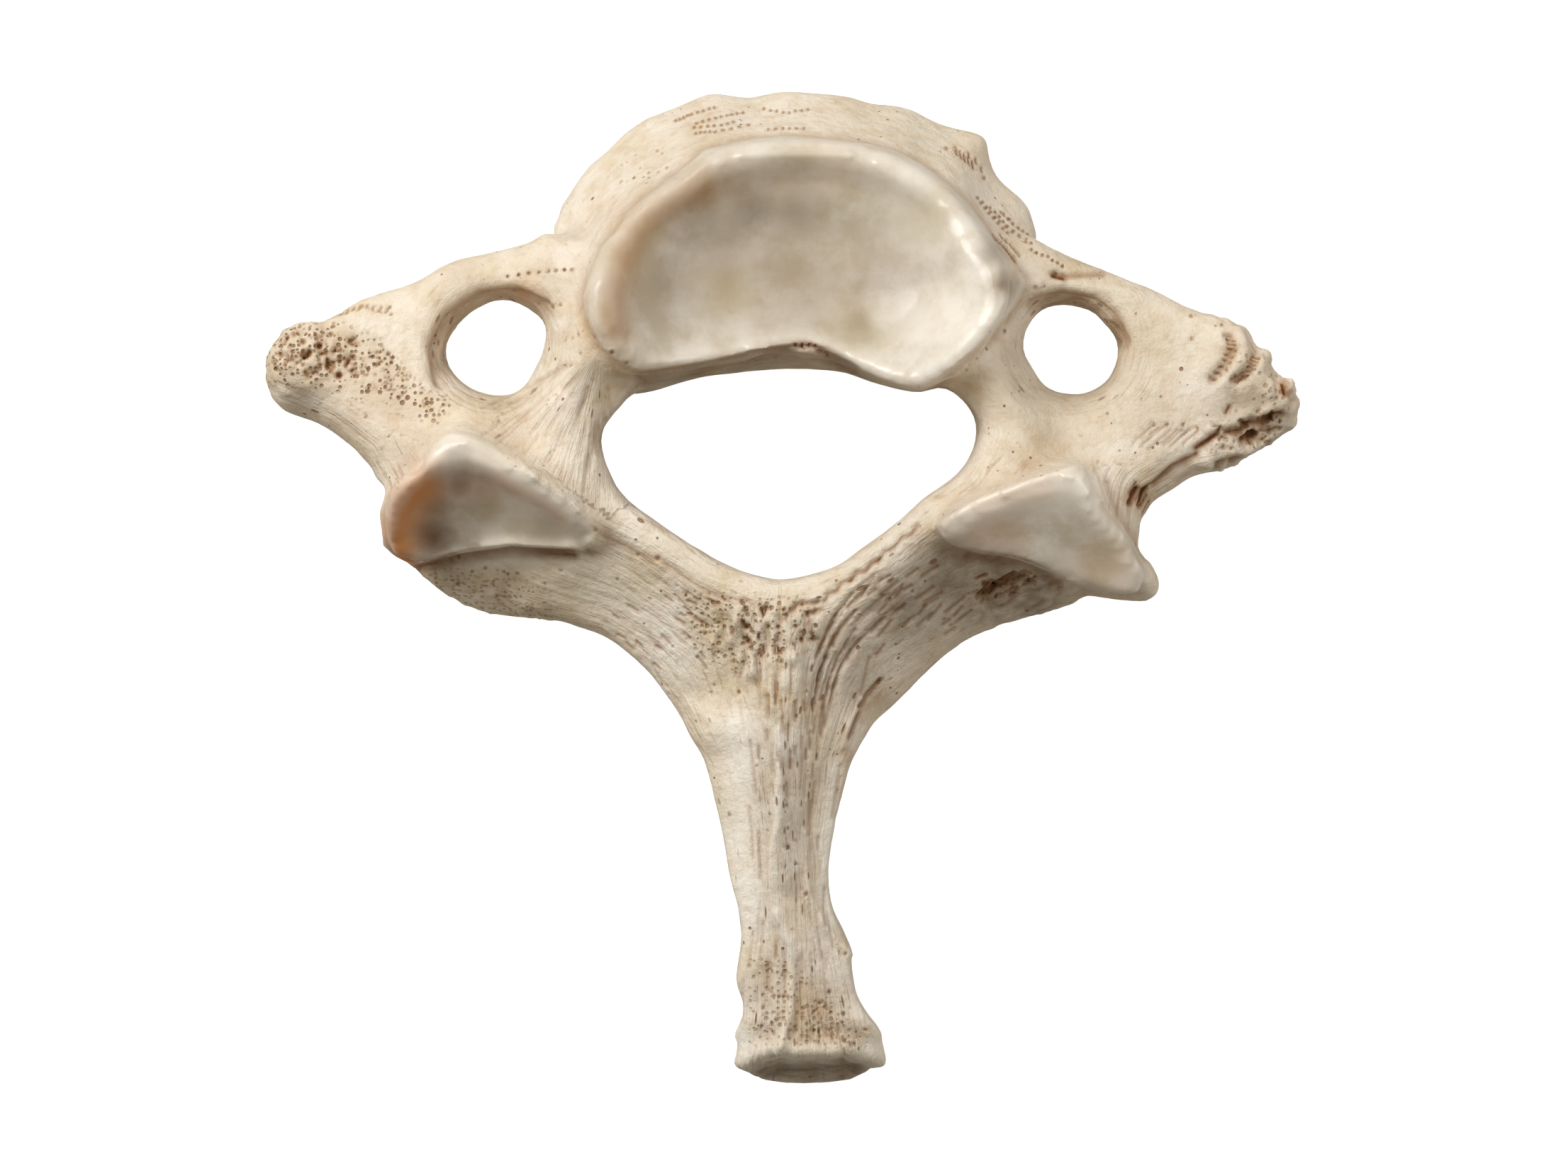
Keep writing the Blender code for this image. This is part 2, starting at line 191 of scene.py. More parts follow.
DISH_EDGE = (
    (-11.3, 11.7), (-10.6, 14.2), (-9.8, 16.3), (-7.8, 18.1), (-4.7, 19.3), (-0.6, 20.3), (2.4, 20.4),
    (5.5, 19.9), (8.8, 18.8), (11.9, 17.05), (13.9, 15.0), (14.2, 12.7), (13.2, 10.4), (10.6, 8.1),
    (8.1, 7.1),
)
LEFT_FACET_EDGE = (
    (-26.9, -1.6), (-27.7, -2.9), (-27.8, -3.7), (-27.4, -4.7), (-26.9, -5.5), (-26.0, -6.1),
    (-24.8, -6.0), (-22.5, -5.2), (-20.4, -5.0), (-18.8, -4.8), (-16.0, -5.0), (-14.0, -5.1),
    (-13.1, -4.6), (-12.9, -3.9), (-13.5, -3.1), (-14.4, -2.4), (-16.3, -1.0), (-17.9, 0.1), (-19.4, 1.3),
    (-20.5, 2.4), (-21.7, 2.8), (-22.8, 2.6), (-23.8, 1.75), (-24.8, 0.9), (-25.7, -0.3),
)
RIGHT_FACET_EDGE = (
    (10.0, -3.9), (10.4, -3.3), (11.8, -2.4), (13.3, -1.7), (15.0, -0.9), (16.6, -0.55), (17.7, -0.2),
    (18.9, 0.4), (19.8, 0.6), (20.8, 0.0), (21.2, -0.8), (21.4, -1.9), (22.3, -3.1), (23.3, -4.5),
    (24.2, -5.8), (24.6, -7.0), (24.3, -7.8), (23.5, -8.0), (22.1, -8.2), (20.6, -7.9), (19.6, -7.2),
    (18.5, -7.0), (17.3, -6.2), (16.2, -5.6), (14.65, -5.4), (12.7, -5.05), (11.2, -4.95), (10.2, -4.5),
)
CANAL_LEFT = (
    (-0.2, -7.3), (-1.8, -7.1), (-5.05, -5.9), (-8.3, -3.5), (-11.2, -1.6), (-12.5, 0.9), (-12.5, 3.2),
)
CANAL_RIGHT = ((-0.2, -7.3), (1.3, -7.1), (4.7, -5.6), (8.9, -2.2), (11.9, 0.2), (13.1, 2.6), (12.5, 4.6))
CREST = ((0.6, -42.5), (0.3, -36.0), (0.3, -30.0), (0.2, -25.0), (-0.2, -18.0), (-0.3, -12.0))
LEFT_BACK_EDGE = (
    (-4.6, -42.5), (-3.6, -36.0), (-3.6, -30.0), (-4.2, -25.0), (-5.4, -20.0), (-7.6, -16.2),
    (-10.2, -13.0), (-13.0, -11.2), (-17.9, -10.2), (-23.0, -9.0), (-27.0, -7.0),
)
RIGHT_BACK_EDGE = (
    (7.2, -42.5), (5.6, -36.0), (4.0, -30.0), (3.4, -25.0), (4.6, -20.0), (6.6, -16.6), (9.6, -13.9),
    (13.0, -11.2), (17.7, -10.0), (21.5, -8.8), (26.0, -8.6),
)


def smooth_step(value: np.ndarray, low: float, high: float) -> np.ndarray:
    """Rises softly from 0 at low to 1 at high.

    Args:
        value: Numbers to weigh.
        low: Where the rise starts.
        high: Where it ends.

    Returns:
        The weights.
    """
    part = np.clip((value - low) / (high - low), 0.0, 1.0)
    return part * part * (3.0 - 2.0 * part)


def follow(plan: np.ndarray, points: tuple) -> tuple[np.ndarray, np.ndarray]:
    """Measures how far plan points are from a line.

    Args:
        plan: Points in plan, one row each.
        points: The corners of the line.

    Returns:
        Each point's distance to the line, and about how far along the line it lies.
    """
    gap = np.full(len(plan), 1e9)
    run = np.zeros(len(plan))
    shares = np.zeros(len(plan))
    travelled = 0.0
    for start, end in zip(points[:-1], points[1:]):
        step = np.subtract(end, start)
        length = float(np.hypot(*step))
        part = np.clip(((plan - start) @ step) / length**2, 0.0, 1.0)
        off = plan - start - part[:, None] * step
        distance = np.hypot(off[:, 0], off[:, 1])
        gap = np.minimum(gap, distance)
        share = length / (distance + BEND_ROUNDING) ** 4
        run += share * (travelled + part * length)
        shares += share
        travelled += length
    return gap, run / shares


def grown(points: tuple, distance: float) -> tuple:
    """Moves a closed clockwise line outwards.

    Args:
        points: The corners of the line.
        distance: How far it moves.

    Returns:
        The corners of the new line, closed.
    """
    line = []
    for before, here, after in zip(points[-1:] + points[:-1], points, points[1:] + points[:1]):
        dx, dy = after[0] - before[0], after[1] - before[1]
        length = math.hypot(dx, dy)
        line.append((here[0] - distance * dy / length, here[1] + distance * dx / length))
    return tuple(line) + (line[0],)


def inside(plan: np.ndarray, points: tuple) -> np.ndarray:
    """Tells which plan points lie inside a closed line.

    Args:
        plan: Points in plan.
        points: The corners of the line.

    Returns:
        True for each point inside.
    """
    hit = np.zeros(len(plan), dtype=bool)
    x, y = plan[:, 0], plan[:, 1]
    for (ax, ay), (bx, by) in zip(points, points[1:] + points[:1]):
        if ay == by:
            continue
        crosses = (ay > y) != (by > y)
        hit ^= crosses & (x < (bx - ax) * (y - ay) / (by - ay) + ax)
    return hit


def cover(plan: np.ndarray, patch: Patch) -> np.ndarray:
    """Weighs plan points by how deep they lie in a patch.

    Args:
        plan: Points in plan.
        patch: The area.

    Returns:
        Weights from 0 outside to the patch's strength inside.
    """
    corners = np.array(patch.points)
    low = corners.min(axis=0) - 2 * patch.feather
    high = corners.max(axis=0) + 2 * patch.feather
    near = np.flatnonzero(((plan > low) & (plan < high)).all(axis=1))
    weight = np.zeros(len(plan))
    gap, _ = follow(plan[near], patch.points + patch.points[:1])
    depth = np.where(inside(plan[near], patch.points), gap, -gap)
    weight[near] = patch.strength * smooth_step(depth, -patch.feather, patch.feather)
    return weight


def facing_up(normals: np.ndarray) -> np.ndarray:
    """Weighs points by whether they look up, from 0 to 1."""
    return smooth_step(normals[:, 2], -0.2, 0.25)


def ripple(places: np.ndarray, size: float, seed: float) -> np.ndarray:
    """Reads a soft noise at each place.

    Args:
        places: Points in millimetres.
        size: Width of one wave in millimetres.
        seed: Moves the pattern.

    Returns:
        Noise between about -1 and 1.
    """
    shift = Vector((seed, 2.3 * seed, -1.7 * seed))
    return np.array([noise.noise(Vector(p) + shift) for p in places / size])


def tone(red: int, green: int, blue: int) -> tuple[float, float, float, float]:
    """Turns a display colour into the shader's linear one.

    Args:
        red: Red from 0 to 255.
        green: Green from 0 to 255.
        blue: Blue from 0 to 255.

    Returns:
        The linear colour, with full opacity.
    """
    parts = [c / 255.0 for c in (red, green, blue)]
    linear = [c / 12.92 if c <= 0.04045 else ((c + 0.055) / 1.055) ** 2.4 for c in parts]
    return (*linear, 1.0)


def apply_all(piece: bpy.types.Object) -> None:
    """Applies each modifier of a piece.

    Args:
        piece: The mesh object.
    """
    bpy.ops.object.select_all(action="DESELECT")
    piece.select_set(True)
    bpy.context.view_layer.objects.active = piece
    for modifier in list(piece.modifiers):
        bpy.ops.object.modifier_apply(modifier=modifier.name)


@dataclass
class Clay:
    """The skin's points while they are shaped, in millimetres from the canal's middle."""

    places: np.ndarray
    normals: np.ndarray
    edges: np.ndarray
    pits: np.ndarray

    @classmethod
    def of(cls, mesh: bpy.types.Mesh, pits: np.ndarray | None = None) -> "Clay":
        """Reads the points of a mesh.

        Args:
            mesh: The mesh to read.
            pits: The darkness of pits painted so far.

        Returns:
            The points as arrays.
        """
        count = len(mesh.vertices)
        places = np.empty(count * 3)
        mesh.vertices.foreach_get("co", places)
        normals = np.empty(count * 3)
        mesh.vertex_normals.foreach_get("vector", normals)
        edges = np.empty(len(mesh.edges) * 2, dtype=np.int64)
        mesh.edges.foreach_get("vertices", edges)
        places = places.reshape(-1, 3) / MM
        places[:, :2] -= CANAL_SHIFT
        if pits is None:
            pits = np.zeros(count)
        return cls(places, normals.reshape(-1, 3), edges.reshape(-1, 2), pits)

    def put(self, mesh: bpy.types.Mesh) -> None:
        """Writes the points back to the mesh.

        Args:
            mesh: The mesh they came from.
        """
        places = self.places.copy()
        places[:, :2] += CANAL_SHIFT
        mesh.vertices.foreach_set("co", (places * MM).ravel())
        mesh.update()

    def push(self, which: np.ndarray, amount: np.ndarray) -> None:
        """Moves some points along their normals."""
        self.places[which] += amount[:, None] * self.normals[which]

    def lump(self, mark: Lump) -> None:
        """Raises or sinks a round area.

        Args:
            mark: The swelling or dent.
        """
        plan = self.places[:, :2]
        gap = np.hypot(plan[:, 0] - mark.x, plan[:, 1] - mark.y)
        which = np.flatnonzero(gap < MARK_SPAN * mark.radius)
        amount = mark.rise * np.exp(-((gap[which] / mark.radius) ** 2))
        self.push(which, amount * facing_up(self.normals[which]))

    def stroke(self, mark: Stroke) -> None:
        """Raises or sinks a line.

        Args:
            mark: The ridge or groove.
        """
        corners = np.array(mark.points)
        plan = self.places[:, :2]
        low = corners.min(axis=0) - MARK_SPAN * mark.width
        high = corners.max(axis=0) + MARK_SPAN * mark.width
        which = np.flatnonzero(((plan > low) & (plan < high)).all(axis=1))
        gap, _ = follow(plan[which], mark.points)
        form = np.exp(-((gap / mark.width) ** 2)) * facing_up(self.normals[which])
        self.push(which, mark.rise * form)
        self.pits[which] = np.maximum(self.pits[which], mark.stain_and_shade * form)

    def dent(self, mark: Dent) -> None:
        """Lowers an area with a soft border."""
        weight = cover(self.places[:, :2], mark.patch) * facing_up(self.normals)
        self.places[:, 2] -= mark.depth * weight

    def level(self, mark: Level) -> None:
        """Raises the low parts of an area.

        Args:
            mark: The area and its height.
        """
        weight = cover(self.places[:, :2], mark.patch) * facing_up(self.normals)
        height = self.places[:, 2]
        lift = np.clip(mark.height - height, 0.0, None) * smooth_step(height, *LEVEL_FOOT)
        self.places[:, 2] += mark.share * weight * lift

    def pull(self, mark: Pull) -> None:
        """Draws a place sideways.

        Args:
            mark: The place and the way it goes.
        """
        gap = np.hypot(self.places[:, 0] - mark.x, self.places[:, 1] - mark.y) / mark.radius
        weight = np.exp(-(gap**2))
        self.places[:, 0] += mark.dx * weight
        self.places[:, 1] += mark.dy * weight

    def roughen(self, mark: Rough) -> None:
        """Covers an area with rounded lumps and creases between them.

        Args:
            mark: The area and the size of its lumps.
        """
        weight = cover(self.places[:, :2], mark.patch) * facing_up(self.normals)
        which = np.flatnonzero(weight > 0.01)
        spots = self.places[which] * (1.0, 1.0 / mark.stretch, 1.0)
        wave = np.abs(ripple(spots, mark.size, 5.5)) + 0.3 * np.abs(ripple(spots, 0.45 * mark.size, 9.1))
        self.push(which, mark.height * (2.2 * wave - 0.5) * weight[which])

    def cut_end(self, crest: tuple, depth: float, left_over: float) -> None:
        """Slopes the blunt end of the spinous process behind its crest.

        Args:
            crest: The crest line in plan, from left to right.
            depth: Length of the slope in plan.
            left_over: Share of the height that stays at the slope's foot.
        """
        line = np.array(crest)
        behind = np.interp(self.places[:, 0], line[:, 0], line[:, 1]) - self.places[:, 1]
        part = np.clip(behind / depth, 0.0, 1.0)
        zone = smooth_step(self.places[:, 1], *END_BACK)
        zone *= smooth_step(self.places[:, 0], *END_LEFT) * smooth_step(self.places[:, 0], *END_RIGHT)
        self.places[:, 2] *= 1.0 - (1.0 - left_over) * part**0.9 * zone

    def pit(self, x: float, y: float, radius: float, depth: float) -> None:
        """Sinks a small round hole and darkens it.

        Args:
            x: Its place across.
            y: Its place along.
            radius: Its radius.
            depth: Its depth.
        """
        plan = self.places[:, :2]
        gap = np.hypot(plan[:, 0] - x, plan[:, 1] - y) / radius
        which = np.flatnonzero((gap < 2.0) & (self.normals[:, 2] > 0.0))
        form = np.clip(1.0 - gap[which] ** 2, 0.0, 1.0)
        wall = np.exp(-(((gap[which] - WALL_PLACE) / WALL_WIDTH) ** 2))
        sunk = depth if radius > SMALL_PORE else SMALL_SHARE * depth
        self.places[which, 2] += WALL_RISE * radius * wall - sunk * form
        dark = smooth_step(-gap[which], -1.15, -0.35)
        self.pits[which] = np.maximum(self.pits[which], dark * min(1.0, 0.35 + 1.6 * depth))

    def average(self, rounds: int) -> np.ndarray:
        """Finds the middle of each point's surroundings.

        Args:
            rounds: How far the surroundings reach, in steps from point to point.

        Returns:
            One place for each point.
        """
        a, b = self.edges[:, 0], self.edges[:, 1]
        count = len(self.places)
        links = np.bincount(a, minlength=count) + np.bincount(b, minlength=count)
        soft = self.places.copy()
        for _ in range(rounds):
            for axis in range(3):
                total = np.bincount(a, soft[b, axis], count) + np.bincount(b, soft[a, axis], count)
                soft[:, axis] = total / links
        return soft

    def soften(self, patch: Patch, rounds: int) -> None:
        """Rounds the corners of an area off."""
        weight = cover(self.places[:, :2], patch)
        self.places += weight[:, None] * (self.average(rounds) - self.places)

    def hollows(self, rounds: int) -> np.ndarray:
        """Measures in millimetres how far each point lies below its surroundings."""
        return ((self.average(rounds) - self.places) * self.normals).sum(axis=1)


def strongest(clay: Clay, patches: tuple[Patch, ...]) -> np.ndarray:
    """Weighs the points by the patch that covers them most."""
    return np.max([cover(clay.places[:, :2], patch) for patch in patches], axis=0)


@dataclass
class BoneMarks:
    """The forms that the sculpting adds, by region."""

    groove_seed: int = 11
    pore_seed: int = 7
    spine_levels: tuple = (-40.0, -34.0, -30.0, -24.0, -18.0, -12.0)
    spine_halves: tuple = (4.4, 4.0, 3.2, 3.5, 4.6, 6.0)
    end_crest: tuple = (
        (-4.5, -40.9), (-2.6, -40.2), (-1.5, -39.5), (-0.4, -39.2), (0.6, -39.5), (2.0, -39.4),
        (3.1, -39.3), (3.9, -39.1), (4.7, -39.5), (5.9, -40.0), (7.0, -40.6),
    )

    def lobes(self) -> tuple[Patch, ...]:
        """Gives the rounded corners of the blunt end.

        Returns:
            The left and the right corner.
        """
        left = ((-5.0, -38.6), (-2.0, -38.8), (-1.3, -43.0), (-5.0, -43.0))
        right = ((4.6, -38.4), (8.0, -38.2), (8.0, -43.0), (4.4, -43.0))
        return (Patch(left, 0.6), Patch(right, 0.6))

    def lumps(self) -> tuple[Lump, ...]:
        """Lists the swellings and dents.

        Returns:
            The marks in the order they are pressed.
        """
        return (
            Lump(-0.4, -38.9, 0.7, 0.35),
            Lump(3.3, -39.3, 0.8, 0.25),
            Lump(4.6, -39.5, 0.7, 0.25),
            Lump(-2.4, -39.7, 1.0, 0.45),
            Lump(-3.0, -40.2, 0.8, 0.12),
            Lump(5.9, -39.6, 0.9, 0.35),
            Lump(1.3, -40.9, 1.3, -0.40),
            Lump(9.3, 8.6, 1.2, 0.10),
            Lump(5.3, 10.4, 1.8, -0.15),
            Lump(-4.2, 12.8, 2.0, -0.12),
            Lump(30.9, 7.5, 0.8, 0.30),
            Lump(28.9, 7.6, 0.9, 0.22),
            Lump(32.7, 7.9, 0.6, 0.25),
            Lump(-34.0, 9.6, 0.7, 0.25),
            Lump(-32.3, 9.9, 0.6, 0.20),
            Lump(-22.1, 1.9, 0.35, -0.06),
        )

    def levels(self) -> tuple[Level, ...]:
        """Lists the areas that lie flatter.

        Returns:
            The areas in the order they are raised.
        """
        spine = (
            (-6.4, -16.0), (-2.0, -14.0), (3.0, -14.6), (6.6, -17.4), (5.0, -24.0), (9.0, -38.6),
            (-6.0, -38.6),
        )
        lamina = (
            (-18.0, -6.8), (-13.0, -5.2), (-9.0, -6.4), (-3.0, -9.4), (-2.4, -18.0), (-7.0, -19.0),
            (-19.0, -11.6),
        )
        return (
            Level(Patch(spine, 1.4), 10.4, 0.70),
            Level(Patch(lamina, 1.3), 12.0, 0.36),
        )

    def pulls(self) -> tuple[Pull, ...]:
        """Lists the places where the outline is corrected.

        Returns:
            The pulls in the order they are made.
        """
        rows = (
            (-16.3, 16.6, 1.0, -0.30, 0.50), (16.9, 16.6, 0.9, 0.28, 0.10),
            (-29.4, 11.6, 1.4, -0.05, 0.22), (-25.4, 0.6, 0.9, 0.14, -0.14),
            (-22.6, 14.5, 2.2, 0.00, 0.20), (-32.4, 3.6, 2.2, 0.08, 0.24),
            (-27.6, -0.4, 0.9, -0.42, 0.00), (-27.8, -4.0, 1.3, 0.26, 0.00),
            (-26.0, -6.2, 0.7, 0.05, 0.22), (-16.1, -10.2, 2.0, 0.00, 0.14),
            (-5.9, -18.6, 1.6, -0.18, 0.00), (-3.4, -31.0, 1.3, -0.12, 0.00),
            (-3.4, -34.8, 1.0, -0.16, 0.00), (-3.7, -40.1, 0.7, 0.46, 0.06),
            (-3.4, -38.8, 0.8, -0.18, 0.00), (6.6, -38.6, 0.8, 0.18, 0.00),
            (-2.6, -41.1, 0.9, -0.05, -0.34), (6.7, -39.2, 1.1, 0.55, 0.00),
            (4.6, -32.6, 1.0, 0.32, 0.00), (3.5, -30.0, 0.9, -0.12, 0.00), (5.2, -35.7, 1.1, -0.16, 0.00),
            (6.2, -17.4, 1.7, -0.26, 0.18), (20.6, -8.4, 0.8, 0.00, 0.36), (23.3, -8.6, 1.3, 0.00, -0.28),
            (25.5, -7.6, 0.9, 0.18, -0.12), (24.8, -8.3, 0.9, 0.10, -0.22),
            (24.7, -5.3, 1.0, -0.42, 0.00), (24.3, -2.9, 1.0, 0.42, 0.00), (27.6, -0.3, 1.2, 0.00, 0.14),
            (33.7, 7.3, 1.0, -0.30, -0.24), (30.1, 10.6, 1.0, 0.00, 0.06), (31.9, 9.1, 0.6, -0.12, -0.12),
            (16.6, 7.0, 1.0, 0.20, 0.00), (34.4, 2.8, 0.7, -0.10, 0.20), (32.6, 1.9, 0.8, 0.00, 0.18),
            (-6.0, 6.7, 2.2, 0.00, 0.14), (-1.0, 7.2, 2.4, 0.00, 0.16), (3.6, 6.9, 2.0, 0.00, 0.20),
            (10.6, 5.7, 1.2, 0.05, 0.26), (12.8, 4.0, 1.4, 0.14, 0.00), (-12.5, 2.6, 2.0, -0.14, 0.00),
            (0.6, -7.3, 3.0, 0.00, 0.20), (9.6, -1.9, 2.0, -0.06, 0.08), (-16.6, 10.2, 1.2, 0.28, 0.00),
            (-19.3, 12.0, 1.2, 0.00, 0.12), (-19.8, 5.4, 1.4, 0.00, 0.12),
            (22.3, 10.6, 1.2, -0.20, -0.16), (19.6, 5.4, 1.4, 0.00, 0.10), (-5.1, 26.0, 1.7, 0.00, 0.18),
            (-9.8, 24.2, 1.8, -0.10, 0.12), (-13.2, 20.6, 1.8, -0.14, 0.10),
            (-15.1, 18.1, 1.1, -0.18, 0.05), (4.4, 25.9, 1.7, 0.00, 0.20), (7.8, 25.2, 1.2, 0.00, 0.12),
            (13.4, 23.1, 1.1, 0.26, 0.20), (16.3, 18.3, 1.3, 0.26, 0.00), (34.6, 6.9, 0.8, -0.38, -0.30),
            (32.6, 8.9, 0.7, -0.20, -0.20), (-35.2, 9.4, 0.9, 0.15, -0.12), (19.0, 5.3, 1.0, 0.00, 0.10),
            (5.5, -5.2, 1.5, -0.05, 0.12), (-17.0, 7.0, 1.0, -0.12, 0.00), (6.9, -40.6, 0.7, -0.52, 0.14),
            (4.8, -41.2, 0.8, 0.10, -0.25), (-25.2, 0.8, 0.9, 0.26, -0.26),
        )
        return tuple(Pull(*row) for row in rows)

    def roughs(self) -> tuple[Rough, ...]:
        """Lists the lumpy areas.

        Returns:
            The areas in the order they are roughened.
        """
        right_tip = (
            (27.4, 1.2), (29.0, 3.0), (31.6, 3.8), (33.0, 5.2), (33.4, 7.4), (34.4, 7.6), (36.4, 5.0),
            (35.0, 1.6), (30.0, -0.4),
        )
        right_end = (
            (29.0, 11.6), (29.4, 9.4), (31.0, 6.4), (33.0, 4.8), (36.0, 5.0), (34.6, 9.0), (31.0, 12.0),
        )
        left_tip = ((-36.6, 10.8), (-31.0, 11.2), (-29.6, 8.4), (-31.0, 6.0), (-34.4, 5.2), (-36.6, 6.0))
        junction = (
            (-5.4, -8.4), (-2.6, -8.6), (2.6, -9.0), (2.4, -12.6), (0.4, -15.4), (-2.6, -15.0),
            (-5.4, -12.0),
        )
        left_back = ((-24.6, -6.8), (-19.4, -7.6), (-16.0, -9.2), (-15.6, -11.0), (-25.6, -10.0))
        right_back = ((12.8, -9.0), (17.6, -7.0), (20.0, -7.8), (17.6, -10.4), (13.4, -11.0))
        knob_end = ((-4.4, -38.0), (-0.4, -38.6), (6.6, -38.6), (7.6, -41.0), (1.0, -42.4), (-4.6, -41.2))
        return (
            Rough(Patch(right_tip, 0.7), 0.40, 1.7),
            Rough(Patch(right_end, 0.8), 0.20, 1.4),
            Rough(Patch(left_tip, 0.7), 0.24, 1.3),
            Rough(Patch(junction, 0.9), 0.24, 0.8, 2.4),
            Rough(Patch(left_back, 0.8), 0.16, 1.0),
            Rough(Patch(right_back, 0.8), 0.18, 1.0),
            Rough(Patch(knob_end, 0.6), 0.14, 1.8),
        )

    def dents(self) -> tuple[Dent, ...]:
        """Lists the lowered areas.

        Returns:
            The areas in the order they are pressed.
        """
        left_facet = (
            (-26.7, -4.6), (-26.2, -2.9), (-25.3, -1.6), (-24.3, -0.7), (-23.2, -0.1), (-21.6, 0.0),
            (-20.0, -0.5), (-18.7, -1.2), (-16.4, -2.3), (-14.9, -3.2), (-13.6, -4.0), (-13.2, -5.4),
            (-16.0, -5.4), (-18.8, -5.2), (-20.4, -5.4), (-22.5, -5.6), (-24.8, -6.3), (-26.4, -5.6),
        )
        dish = DISH_EDGE + ((4.2, 8.9), (1.2, 10.2), (-3.0, 9.9), (-8.0, 8.9), (-10.6, 9.4))
        floor = (
            (-8.6, 12.0), (-8.2, 14.4), (-5.8, 16.4), (-1.0, 17.3), (4.0, 17.3), (8.0, 15.8),
            (11.4, 13.6), (11.4, 11.4), (9.6, 9.8), (5.6, 10.4), (1.0, 12.0), (-4.0, 11.6),
        )
        corner = (
            (-26.4, -4.8), (-26.0, -2.4), (-24.8, -0.8), (-22.4, 0.0), (-20.6, -0.4), (-22.4, -3.0),
            (-23.6, -5.6),
        )
        uncinate = ((14.6, 15.2), (15.7, 14.0), (16.0, 12.9), (15.2, 11.6), (14.4, 12.6))
        return (
            Dent(Patch(left_facet, 0.30), 0.32),
            Dent(Patch(left_facet, 0.95), 0.42),
            Dent(Patch(corner, 1.4), 0.34),
            Dent(Patch(floor, 2.2), 0.75),
            Dent(Patch(dish, 1.0), 0.30),
            Dent(Patch(uncinate, 0.35), 0.30),
        )

